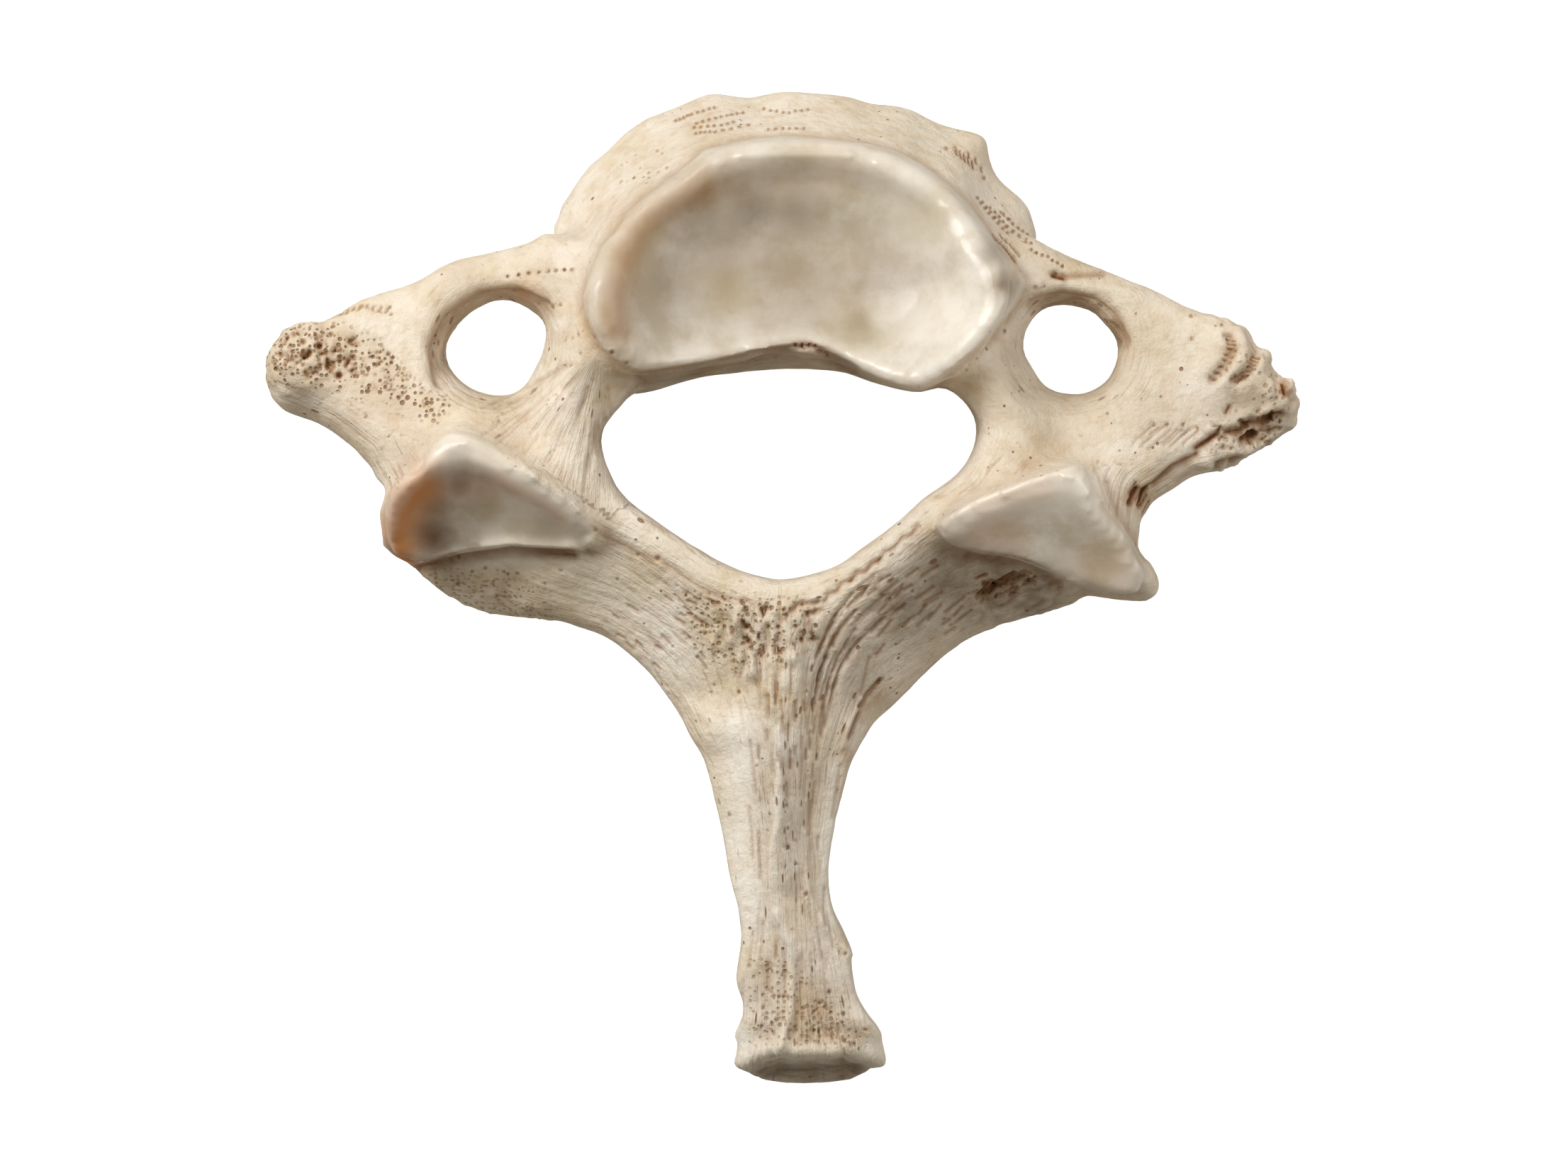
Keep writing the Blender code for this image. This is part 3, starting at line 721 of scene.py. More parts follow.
    def strokes(self) -> tuple[Stroke, ...]:
        """Lists the ridges and grooves.

        Returns:
            The marks in the order they are drawn.
        """
        end = self.end_crest
        return (
            Stroke(grown(RIM_EDGE, -0.35), 0.60, 0.16),
            Stroke(grown(RIM_EDGE, 0.50), 0.30, -0.20, 0.22),
            Stroke(grown(LEFT_FACET_EDGE, -0.30), 0.45, 0.08),
            Stroke(((10.2, -3.7), (13.3, -1.9), (16.6, -0.7), (19.8, 0.3), (20.9, -0.4), (21.3, -1.9)),
                   0.27, 0.24),
            Stroke(((21.3, -1.9), (22.2, -3.2), (23.2, -4.7), (24.0, -6.0), (24.3, -7.2)), 0.27, 0.22),
            Stroke(((-20.6, -4.8), (-18.8, -4.6), (-16.0, -4.8), (-14.0, -4.9), (-13.3, -4.5)), 0.26, 0.26),
            Stroke(end, 0.58, 0.42),
            # The under edges of the facets stand clear of the laminae; the grooves under them are darkened as
            # a painted shadow.
            Stroke(((-25.4, -6.6), (-22.5, -5.9), (-20.4, -5.6), (-18.8, -5.4), (-14.6, -5.6)),
                   0.30, -0.50, 0.65),
            Stroke(((12.4, -5.7), (14.6, -6.0), (16.4, -6.3), (17.6, -6.9), (18.7, -7.7)),
                   0.35, -0.30, 0.45),
            Stroke(((21.9, -0.6), (22.3, -2.0), (23.4, -3.8), (24.6, -5.6)), 0.25, -0.15, 0.3),
            # Funnels of the transverse foramina, steepest at the light's side, their walls darkened as
            # painted shade.
            Stroke(((-23.6, 6.6), (-23.8, 8.8), (-22.9, 10.6), (-20.8, 11.9), (-18.4, 12.0), (-16.8, 11.3)),
                   0.75, -0.80, 0.42),
            Stroke(((17.0, 11.5), (19.0, 12.0), (21.0, 11.7), (22.3, 10.7), (22.9, 9.2)),
                   0.60, -0.60, 0.45),
            # Back wall of the body, under the rim, darkened as painted shade.
            Stroke(((-10.0, 6.5), (-5.7, 7.2), (-1.6, 8.2), (1.2, 8.7), (2.8, 8.2), (4.6, 7.0)),
                   0.35, -0.18, 0.5),
            # Junction of the laminae, cracks and worm-like bars.
            Stroke(((8.9, -3.5), (8.5, -4.2), (7.9, -4.3), (7.3, -5.1), (6.7, -5.3), (6.3, -5.9)),
                   0.15, -0.18, 0.55),
            Stroke(((6.3, -5.9), (5.8, -6.1), (5.4, -6.7), (4.8, -6.7), (4.4, -7.3)), 0.19, -0.30, 0.68),
            Stroke(((4.4, -7.3), (3.8, -7.4), (3.4, -8.1), (2.9, -8.2), (2.6, -8.8)), 0.16, -0.20, 0.55),
            Stroke(((2.2, -8.8), (0.8, -8.9), (0.1, -9.6)), 0.22, -0.30, 0.62),
            Stroke(((2.4, -9.3), (1.6, -9.6)), 0.22, -0.30, 0.62),
            Stroke(((-12.9, -3.85), (-10.0, -5.55), (-8.7, -5.9), (-5.5, -8.0), (-4.0, -8.5)),
                   0.30, -0.10, 0.35),
            Stroke(((0.2, -9.6), (0.1, -10.6), (0.5, -11.8), (0.3, -12.8)), 0.28, 0.34),
            Stroke(((-1.6, -9.8), (-1.8, -11.0), (-2.3, -12.4), (-2.2, -13.6)), 0.28, 0.32),
            Stroke(((-0.9, -9.4), (-0.9, -10.6), (-0.6, -11.8)), 0.24, 0.28),
            Stroke(((-3.3, -9.2), (-3.4, -10.2), (-3.8, -11.4)), 0.24, 0.24),
            Stroke(((-1.2, -12.4), (-1.0, -14.0), (-0.9, -16.0)), 0.26, 0.20),
            Stroke(((-4.9, -9.4), (-4.7, -10.6), (-5.1, -11.8)), 0.24, 0.18),
            # Crest of the spine.
            Stroke(((-0.5, -17.5), (-0.4, -23.3), (-0.85, -25.6), (-0.9, -28.0), (-0.6, -30.6)),
                   0.26, 0.26),
            Stroke(((-0.6, -30.0), (0.1, -32.0), (0.4, -34.3), (0.3, -36.7), (-0.3, -39.1)), 0.26, 0.32),
            Stroke(((-0.9, -30.8), (-0.2, -32.4), (0.0, -34.3), (-0.1, -36.7), (-0.8, -38.8)), 0.26, -0.10),
            Stroke(((1.0, -33.0), (1.0, -34.6), (0.9, -36.8), (0.4, -38.6)), 0.26, -0.16, 0.15),
            Stroke(((-1.5, -34.0), (-1.3, -36.0), (-1.5, -38.4)), 0.60, -0.26, 0.15),
            Stroke(((1.5, -33.6), (1.9, -35.6), (2.6, -38.0)), 0.75, -0.22, 0.12),
            Stroke(((1.35, -24.5), (1.2, -26.5), (1.5, -28.8), (2.5, -30.9), (4.3, -32.9)), 0.26, 0.24),
            Stroke(((0.4, -20.0), (0.45, -24.0), (0.4, -28.8)), 0.60, -0.26),
            Stroke(((2.4, -30.4), (3.4, -33.4), (4.6, -35.9), (5.6, -38.2)), 0.55, 0.14),
            Stroke(((4.3, -18.0), (4.8, -16.7), (5.0, -16.3)), 0.15, -0.30, 0.60),
            Stroke(((5.0, -15.9), (5.6, -15.1), (6.5, -14.1)), 0.16, -0.34, 0.65),
            Stroke(((3.9, -18.6), (4.4, -16.8), (5.1, -15.4)), 0.22, 0.18),
            # Transverse process on the right.
            Stroke(((18.3, 13.6), (19.0, 13.45)), 0.28, -0.45, 1.0),
            Stroke(((19.0, 13.45), (20.4, 13.65), (21.7, 13.7)), 0.22, -0.16, 0.55),
            Stroke(((16.6, 12.9), (18.6, 13.05), (20.8, 12.6), (22.6, 12.6), (24.2, 12.1)), 0.35, 0.16),
            Stroke(((30.2, 9.5), (30.5, 8.6), (30.0, 7.5), (29.1, 6.4)), 0.34, -0.34, 0.40),
            Stroke(((32.1, 8.0), (31.8, 7.3), (31.3, 6.7), (30.6, 6.35)), 0.30, -0.30, 0.40),
            Stroke(((31.0, 9.8), (31.3, 8.4), (30.7, 7.2), (29.9, 6.2)), 0.34, 0.26),
            Stroke(((28.1, 1.7), (29.3, 2.6)), 0.26, -0.50, 1.0),
            Stroke(((30.1, 2.8), (31.0, 2.9), (31.7, 3.5), (32.6, 3.3), (33.3, 3.9), (33.9, 4.0)),
                   0.28, -0.50, 0.85),
            Stroke(((29.2, 3.2), (30.6, 3.5), (31.6, 4.2), (32.9, 4.4)), 0.40, 0.28),
            Stroke(((28.2, 0.8), (29.8, 1.4), (31.4, 1.6), (33.0, 2.4)), 0.30, 0.26),
            Stroke(((29.4, 0.6), (31.0, 1.0)), 0.24, -0.30, 0.6),
            Stroke(((31.3, 2.3), (31.9, 2.6)), 0.30, -0.50, 1.0),
            Stroke(((28.0, 1.2), (26.4, 0.4), (25.1, -0.8)), 0.26, -0.35, 0.8),
            Stroke(((24.0, -1.1), (23.5, -2.0)), 0.22, -0.40, 1.0),
            Stroke(((24.6, -1.1), (24.2, -2.2)), 0.22, -0.40, 0.9),
            Stroke(((34.1, 6.2), (34.2, 5.5)), 0.24, -0.40, 1.0),
            # Recess in the right lamina.
            Stroke(((13.7, -8.5), (15.0, -7.7), (16.3, -7.0)), 0.40, -0.45, 0.45),
            Stroke(((13.2, -8.3), (13.9, -7.7)), 0.16, -0.30, 0.90),
            Stroke(((14.4, -7.5), (15.6, -6.8)), 0.16, -0.26, 0.90),
            Stroke(((14.0, -9.5), (15.4, -9.3)), 0.22, 0.20),
        )

    def bars(self) -> tuple[Stroke, ...]:
        """Lists the repeated short grooves, in the order of their random draws.

        Returns:
            The grooves.
        """
        chance = np.random.default_rng(self.groove_seed)
        grooves = self.pedicle_fan(chance) + self.hatching(chance)
        grooves += self.sweeps(chance) + self.spine_lines(chance)
        return tuple(grooves + self.ladders() + self.scattered(chance))

    def pedicle_fan(self, chance: np.random.Generator) -> list[Stroke]:
        """Draws the fan of fine grooves on the left pedicle.

        Args:
            chance: The random draws.

        Returns:
            The grooves.
        """
        grooves = []
        for _ in range(46):
            turn = math.radians(chance.uniform(205.0, 280.0))
            near = chance.uniform(2.0, 8.0)
            far = near + chance.uniform(1.2, 3.0)
            line = tuple((-12.6 + r * math.cos(turn), 8.6 + r * math.sin(turn)) for r in (near, far))
            grooves.append(Stroke(line, 0.13, -0.08, 0.12))
        return grooves

    def hatching(self, chance: np.random.Generator) -> list[Stroke]:
        """Draws the short grooves beside the right tip and along the blunt end.

        Args:
            chance: The random draws.

        Returns:
            The grooves.
        """
        grooves = []
        for index in range(9):
            top = (25.0 + 0.42 * index, 3.25 + chance.uniform(-0.35, 0.15))
            length = chance.uniform(0.5, 1.9)
            low = (top[0] - length, top[1] - 0.85 * length + chance.uniform(-0.1, 0.1))
            grooves.append(Stroke((top, low), 0.09, -0.10, 0.34))
        for index in range(9):
            top = (0.2 + 0.42 * index, -37.9 + chance.uniform(-0.3, 0.2))
            low = (top[0] - 0.05, top[1] - chance.uniform(0.4, 1.0))
            grooves.append(Stroke((top, low), 0.11, -0.14, 0.45))
        return grooves

    def sweeps(self, chance: np.random.Generator) -> list[Stroke]:
        """Draws the grooves that sweep from the right lamina into the spine.

        Args:
            chance: The random draws.

        Returns:
            The grooves.
        """
        grooves = []
        curve = ((6.4, -6.6), (4.4, -8.4), (2.9, -10.4), (1.9, -12.8), (1.3, -16.0), (1.1, -19.0))
        for _ in range(44):
            out = chance.uniform(-0.2, 3.2)
            first = chance.uniform(0.0, 3.7)
            line = []
            for part in (first, first + 0.4, first + 0.8, first + 1.2):
                lean = part / (len(curve) - 1.0)
                x = float(np.interp(part, range(len(curve)), [p[0] for p in curve]))
                y = float(np.interp(part, range(len(curve)), [p[1] for p in curve]))
                x += out * (0.6 + 0.4 * lean) * (1.0 - 0.55 * lean) + chance.uniform(-0.06, 0.06)
                line.append((x, y - 0.75 * out * (1.0 - lean)))
            grooves.append(Stroke(tuple(line), 0.13, -0.13, chance.uniform(0.05, 0.45)))
        return grooves

    def spine_lines(self, chance: np.random.Generator) -> list[Stroke]:
        """Draws the lines along the spinous process.

        Args:
            chance: The random draws.

        Returns:
            The grooves.
        """
        grooves = []
        for _ in range(40):
            share = chance.uniform(-0.95, 0.95)
            top = chance.uniform(-36.0, -12.0)
            length = chance.uniform(0.8, 3.6)
            line = []
            for y in (top, top - 0.5 * length, top - length):
                half = float(np.interp(y, self.spine_levels, self.spine_halves))
                line.append((0.3 + share * half, y))
            grooves.append(Stroke(tuple(line), 0.13, -0.09, chance.uniform(0.05, 0.40)))
        return grooves

    def ladders(self) -> list[Stroke]:
        """Draws the short grooves that cross a line like the rungs of a ladder.

        Returns:
            The grooves.
        """
        grooves = []
        rows = (
            (((30.2, 9.5), (30.5, 8.6), (30.0, 7.5), (29.1, 6.4)), 9, 0.45, -20.0, 0.85),
            (((32.1, 8.0), (31.8, 7.3), (31.3, 6.7), (30.6, 6.35)), 9, 0.45, -20.0, 0.85),
            (((11.7, 22.3), (12.3, 21.8), (12.9, 21.3)), 5, 0.55, -80.0, 0.90),
            (((12.6, 22.0), (13.1, 21.6), (13.5, 21.0)), 3, 0.30, -80.0, 0.80),
            (((14.2, 16.2), (15.0, 15.4), (15.6, 14.6)), 7, 0.42, -62.0, 0.90),
            (((14.7, 16.3), (15.4, 15.6), (15.9, 15.0)), 5, 0.30, -62.0, 0.80),
            (((-35.0, 7.6), (-34.6, 8.6), (-34.0, 9.4)), 4, 0.30, 10.0, 0.85),
            (((-30.6, 11.0), (-29.0, 11.5), (-27.2, 11.2)), 8, 0.28, 62.0, 0.75),
            (((0.6, 8.6), (1.8, 8.6), (2.8, 8.0)), 6, 0.35, -60.0, 0.85),
            (((23.6, -1.0), (24.3, -1.6), (24.6, -2.4)), 4, 0.90, 62.0, 0.85),
        )
        for line, count, size, turn, stain_and_shade in rows:
            reach_x = 0.5 * size * math.cos(math.radians(turn))
            reach_y = 0.5 * size * math.sin(math.radians(turn))
            for part in np.linspace(0.05, len(line) - 1.05, count):
                x = float(np.interp(part, range(len(line)), [p[0] for p in line]))
                y = float(np.interp(part, range(len(line)), [p[1] for p in line]))
                ends = ((x - reach_x, y - reach_y), (x + reach_x, y + reach_y))
                grooves.append(Stroke(ends, 0.09, -0.18, stain_and_shade))
        return grooves

    def scattered(self, chance: np.random.Generator) -> list[Stroke]:
        """Draws the short grooves that are scattered over an area.

        Args:
            chance: The random draws.

        Returns:
            The grooves.
        """
        grooves = []
        areas = (
            ((-4.0, 2.0), (-12.2, -8.7), 22, -90.0, 30.0, (0.15, 0.60), 0.13, -0.26, 0.85),
            ((-2.4, 2.2), (-19.5, -12.6), 16, -90.0, 6.0, (0.5, 1.8), 0.13, -0.14, 0.45),
            ((-34.4, -29.4), (6.8, 9.4), 24, 0.0, 90.0, (0.12, 0.45), 0.15, -0.32, 0.90),
            ((29.0, 33.8), (2.0, 4.4), 16, 20.0, 50.0, (0.2, 0.6), 0.14, -0.30, 0.80),
            ((5.0, 12.0), (-12.6, -7.0), 30, 42.0, 14.0, (0.5, 1.6), 0.13, -0.14, 0.40),
            ((-12.0, -4.6), (-13.0, -8.0), 22, -38.0, 14.0, (0.2, 0.8), 0.12, -0.14, 0.55),
            ((13.0, 17.0), (-8.6, -6.8), 12, 35.0, 30.0, (0.2, 0.7), 0.13, -0.22, 0.80),
        )
        for across, along, count, turn, spread, length, width, rise, stain_and_shade in areas:
            for _ in range(count):
                start = (chance.uniform(*across), chance.uniform(*along))
                course = math.radians(turn + chance.uniform(-spread, spread))
                size = chance.uniform(*length)
                end = (start[0] + size * math.cos(course), start[1] + size * math.sin(course))
                grooves.append(Stroke((start, end), width, rise, stain_and_shade))
        return grooves

    def pits(self) -> tuple[tuple[float, float, float, float], ...]:
        """Lists the single pores.

        Returns:
            Each pore's place, radius and depth.
        """
        named = (
            (-33.6, 9.5, 0.30, 0.45), (-33.0, 9.0, 0.34, 0.55), (-31.9, 8.7, 0.42, 0.70),
            (-32.5, 8.3, 0.30, 0.50), (-31.4, 8.2, 0.32, 0.55), (-31.1, 9.5, 0.30, 0.45),
            (-30.4, 8.4, 0.28, 0.45), (-30.55, 6.7, 0.42, 0.70), (-29.4, 6.7, 0.32, 0.50),
            (-30.5, 7.7, 0.30, 0.50), (-29.6, 7.5, 0.24, 0.40), (-33.7, 7.8, 0.34, 0.55),
            (-34.5, 8.1, 0.34, 0.50), (-34.8, 7.2, 0.30, 0.45), (-33.9, 8.7, 0.26, 0.40),
            (-28.9, 6.9, 0.24, 0.40), (-32.1, 9.4, 0.26, 0.45), (-33.0, 8.2, 0.24, 0.40),
            (-34.2, 7.4, 0.26, 0.40), (-31.8, 7.4, 0.30, 0.50), (-29.0, 11.5, 0.22, 0.35),
            (-27.1, 11.4, 0.20, 0.30), (-27.0, 10.9, 0.18, 0.30), (-30.4, 11.0, 0.20, 0.30),
            (-28.7, 3.9, 0.22, 0.30), (-27.1, 2.55, 0.18, 0.25), (-27.6, 1.7, 0.16, 0.20),
            (-15.95, 11.4, 0.24, 0.40), (-15.4, 11.5, 0.20, 0.35), (-11.75, 8.1, 0.24, 0.35),
            (-10.8, 7.4, 0.20, 0.25), (-15.0, 9.1, 0.16, 0.25), (-14.5, 9.2, 0.16, 0.25),
            (-14.1, 9.4, 0.18, 0.25), (-13.8, 9.6, 0.16, 0.25), (-12.95, 9.2, 0.20, 0.30),
            (-13.95, 8.1, 0.18, 0.25), (-14.6, 7.3, 0.18, 0.25), (-22.4, -5.6, 0.22, 0.30),
            (-20.6, -6.4, 0.24, 0.30), (-16.5, -7.5, 0.20, 0.25), (-15.4, -6.6, 0.20, 0.20),
            (-20.1, -7.5, 0.22, 0.30), (-19.0, -8.4, 0.24, 0.30), (-11.5, -7.2, 0.20, 0.20),
            (-10.05, -5.55, 0.20, 0.25), (-8.7, -5.8, 0.32, 0.30), (-7.4, -7.6, 0.18, 0.25),
            (-6.8, -8.3, 0.18, 0.25), (-12.95, -3.9, 0.22, 0.20), (-7.75, -11.8, 0.20, 0.25),
            (-6.05, -12.5, 0.22, 0.25), (-5.5, -10.9, 0.22, 0.30), (-5.1, -14.9, 0.18, 0.25),
            (-3.0, -8.75, 0.30, 0.45), (-2.6, -10.4, 0.34, 0.50), (-2.5, -11.4, 0.30, 0.40),
            (-1.2, -10.4, 0.24, 0.40), (-0.6, -10.4, 0.22, 0.40), (0.7, -10.4, 0.26, 0.40),
            (-0.2, -9.3, 0.26, 0.40), (-1.1, -9.2, 0.24, 0.40), (-0.3, -12.8, 0.24, 0.35),
            (-1.85, -12.2, 0.20, 0.30), (-3.5, -12.8, 0.22, 0.30), (-3.2, -14.9, 0.22, 0.30),
            (-6.2, -10.5, 0.18, 0.25), (-6.8, -8.3, 0.20, 0.25), (-5.2, -8.2, 0.20, 0.25),
            (-4.6, -12.2, 0.18, 0.25), (-4.9, -14.4, 0.18, 0.25), (0.7, -16.5, 0.18, 0.35),
            (1.4, -14.8, 0.18, 0.30), (-2.0, -19.9, 0.20, 0.25), (-3.86, -23.3, 0.22, 0.30),
            (-1.1, -23.2, 0.18, 0.25), (-1.25, -24.3, 0.16, 0.20), (0.1, -25.5, 0.26, 0.40),
            (0.0, -22.6, 0.18, 0.30), (0.1, -24.2, 0.18, 0.30), (0.65, -26.6, 0.18, 0.30),
            (1.36, -28.7, 0.22, 0.40), (-0.1, -26.8, 0.18, 0.30), (0.6, -25.0, 0.16, 0.25),
            (0.4, -31.1, 0.16, 0.25), (4.05, -32.8, 0.20, 0.25), (-1.1, -33.8, 0.20, 0.25),
            (-0.3, -34.2, 0.18, 0.25), (-1.6, -35.6, 0.22, 0.30), (-1.0, -35.4, 0.20, 0.30),
            (-1.56, -36.5, 0.24, 0.30), (-0.65, -37.3, 0.26, 0.40), (-1.7, -37.8, 0.20, 0.25),
            (-0.85, -38.2, 0.20, 0.25), (1.2, -36.5, 0.22, 0.35), (2.26, -36.1, 0.20, 0.30),
            (2.94, -35.4, 0.24, 0.35), (3.9, -36.9, 0.24, 0.35), (1.9, -38.0, 0.20, 0.30),
            (3.97, -38.7, 0.26, 0.40), (4.6, -38.95, 0.26, 0.40), (5.4, -38.0, 0.20, 0.30),
            (2.2, -38.8, 0.20, 0.30), (2.4, -37.2, 0.18, 0.25), (3.1, -38.2, 0.16, 0.25),
            (17.0, 12.7, 0.22, 0.30), (17.6, 12.8, 0.20, 0.30), (27.7, 10.8, 0.24, 0.35),
            (29.8, 10.2, 0.22, 0.30), (27.7, 9.2, 0.24, 0.25), (26.0, 9.4, 0.14, 0.20),
            (21.9, 4.07, 0.18, 0.20), (24.2, 5.15, 0.14, 0.20), (15.85, 5.6, 0.16, 0.20),
            (20.07, 2.54, 0.14, 0.15), (25.1, 3.3, 0.22, 0.35), (26.0, 3.35, 0.22, 0.35),
            (27.1, 3.35, 0.22, 0.35), (28.1, 3.1, 0.22, 0.35), (29.6, 2.3, 0.20, 0.30),
            (30.1, 2.3, 0.20, 0.30), (30.6, 2.2, 0.20, 0.30), (29.8, 1.8, 0.20, 0.30),
            (30.4, 1.75, 0.20, 0.30), (21.2, 0.75, 0.15, 0.20), (14.85, 9.7, 0.22, 0.40),
            (12.9, 7.75, 0.16, 0.25), (12.2, 7.0, 0.18, 0.25), (12.4, 7.3, 0.14, 0.20),
            (13.5, -7.4, 0.28, 0.40), (15.6, -7.2, 0.20, 0.40), (14.4, -8.3, 0.22, 0.40),
            (8.6, -8.0, 0.20, 0.25), (11.0, 22.4, 0.28, 0.40), (13.6, 20.4, 0.26, 0.35),
            (14.75, 18.0, 0.20, 0.30), (15.4, 17.5, 0.18, 0.25), (18.4, 13.6, 0.30, 0.40),
            (1.0, 8.6, 0.26, 0.30), (2.2, 8.2, 0.24, 0.30), (-0.7, 8.0, 0.20, 0.20),
            (-8.85, 22.2, 0.18, 0.25), (-8.5, 22.0, 0.15, 0.20), (-9.4, 20.6, 0.18, 0.25),
            (-8.15, 20.9, 0.18, 0.25), (-11.3, 20.1, 0.16, 0.20), (-4.8, 11.5, 0.15, 0.20),
            (-3.85, 12.6, 0.12, 0.15),
        )
        return named + tuple(self.rows())

    def rows(self) -> list[tuple[float, float, float, float]]:
        """Sets small pores in rows and clusters.

        Returns:
            Each pore's place, radius and depth.
        """
        chance = np.random.default_rng(self.pore_seed)
        pores = []
        lines = (
            (((-7.6, 24.4), (-6.5, 24.85), (-4.9, 25.3)), 9),
            (((-6.1, 24.15), (-4.4, 24.6), (-3.0, 24.9)), 9),
            (((-6.3, 23.8), (-4.9, 23.9), (-3.6, 24.1)), 7),
            (((-6.2, 23.4), (-4.9, 23.45), (-2.6, 23.9)), 9),
            (((-1.5, 25.2), (0.0, 24.8), (1.5, 25.1)), 8),
            (((-1.2, 23.6), (1.2, 23.6)), 6),
            (((16.8, 15.3), (17.9, 14.8), (18.9, 14.2)), 7),
            (((13.1, 18.9), (14.0, 17.7), (15.2, 16.5)), 8),
            (((13.5, 18.6), (14.6, 17.3), (16.4, 15.9)), 9),
            (((14.0, 18.3), (15.2, 17.0), (16.8, 15.8)), 9),
            (((14.9, 17.9), (15.8, 17.0), (16.6, 16.5)), 6),
            (((-19.0, 13.5), (-16.5, 13.8), (-14.6, 13.9)), 8),
            (((-0.8, -35.7), (0.1, -35.75)), 4),
        )
        for points, count in lines:
            along = np.linspace(0.0, len(points) - 1.0, count)
            xs = np.interp(along, range(len(points)), [p[0] for p in points])
            ys = np.interp(along, range(len(points)), [p[1] for p in points])
            for x, y in zip(xs, ys):
                dx, dy = chance.normal(0.0, 0.025, 2)
                pores.append((float(x + dx), float(y + dy), 0.21, 0.42))
        clusters = (
            (-28.2, 7.2, 1.9, 1.5, 60, 0.16), (-26.0, 6.0, 1.6, 1.0, 34, 0.14),
            (-24.2, 5.0, 1.3, 0.9, 22, 0.14), (-32.2, 8.2, 1.9, 1.2, 16, 0.18),
            (-2.4, -9.9, 1.8, 1.3, 10, 0.15), (-5.6, -10.0, 1.3, 2.0, 20, 0.14),
            (-20.5, -7.6, 3.0, 1.4, 26, 0.15), (-1.0, -36.4, 0.9, 1.9, 12, 0.15),
            (2.8, -37.2, 1.8, 1.5, 26, 0.15), (32.3, 3.4, 1.6, 1.1, 14, 0.18),
            (15.2, -7.8, 1.2, 0.7, 12, 0.15), (-10.0, 20.8, 1.8, 1.4, 10, 0.13),
        )
        for x, y, wide, deep, count, radius in clusters:
            for _ in range(count):
                turn = chance.uniform(0.0, 2.0 * math.pi)
                out = math.sqrt(chance.uniform())
                size = radius * chance.uniform(0.75, 1.35)
                place = (x + wide * out * math.cos(turn), y + deep * out * math.sin(turn))
                pores.append((*place, size, 1.6 * size))
        return pores


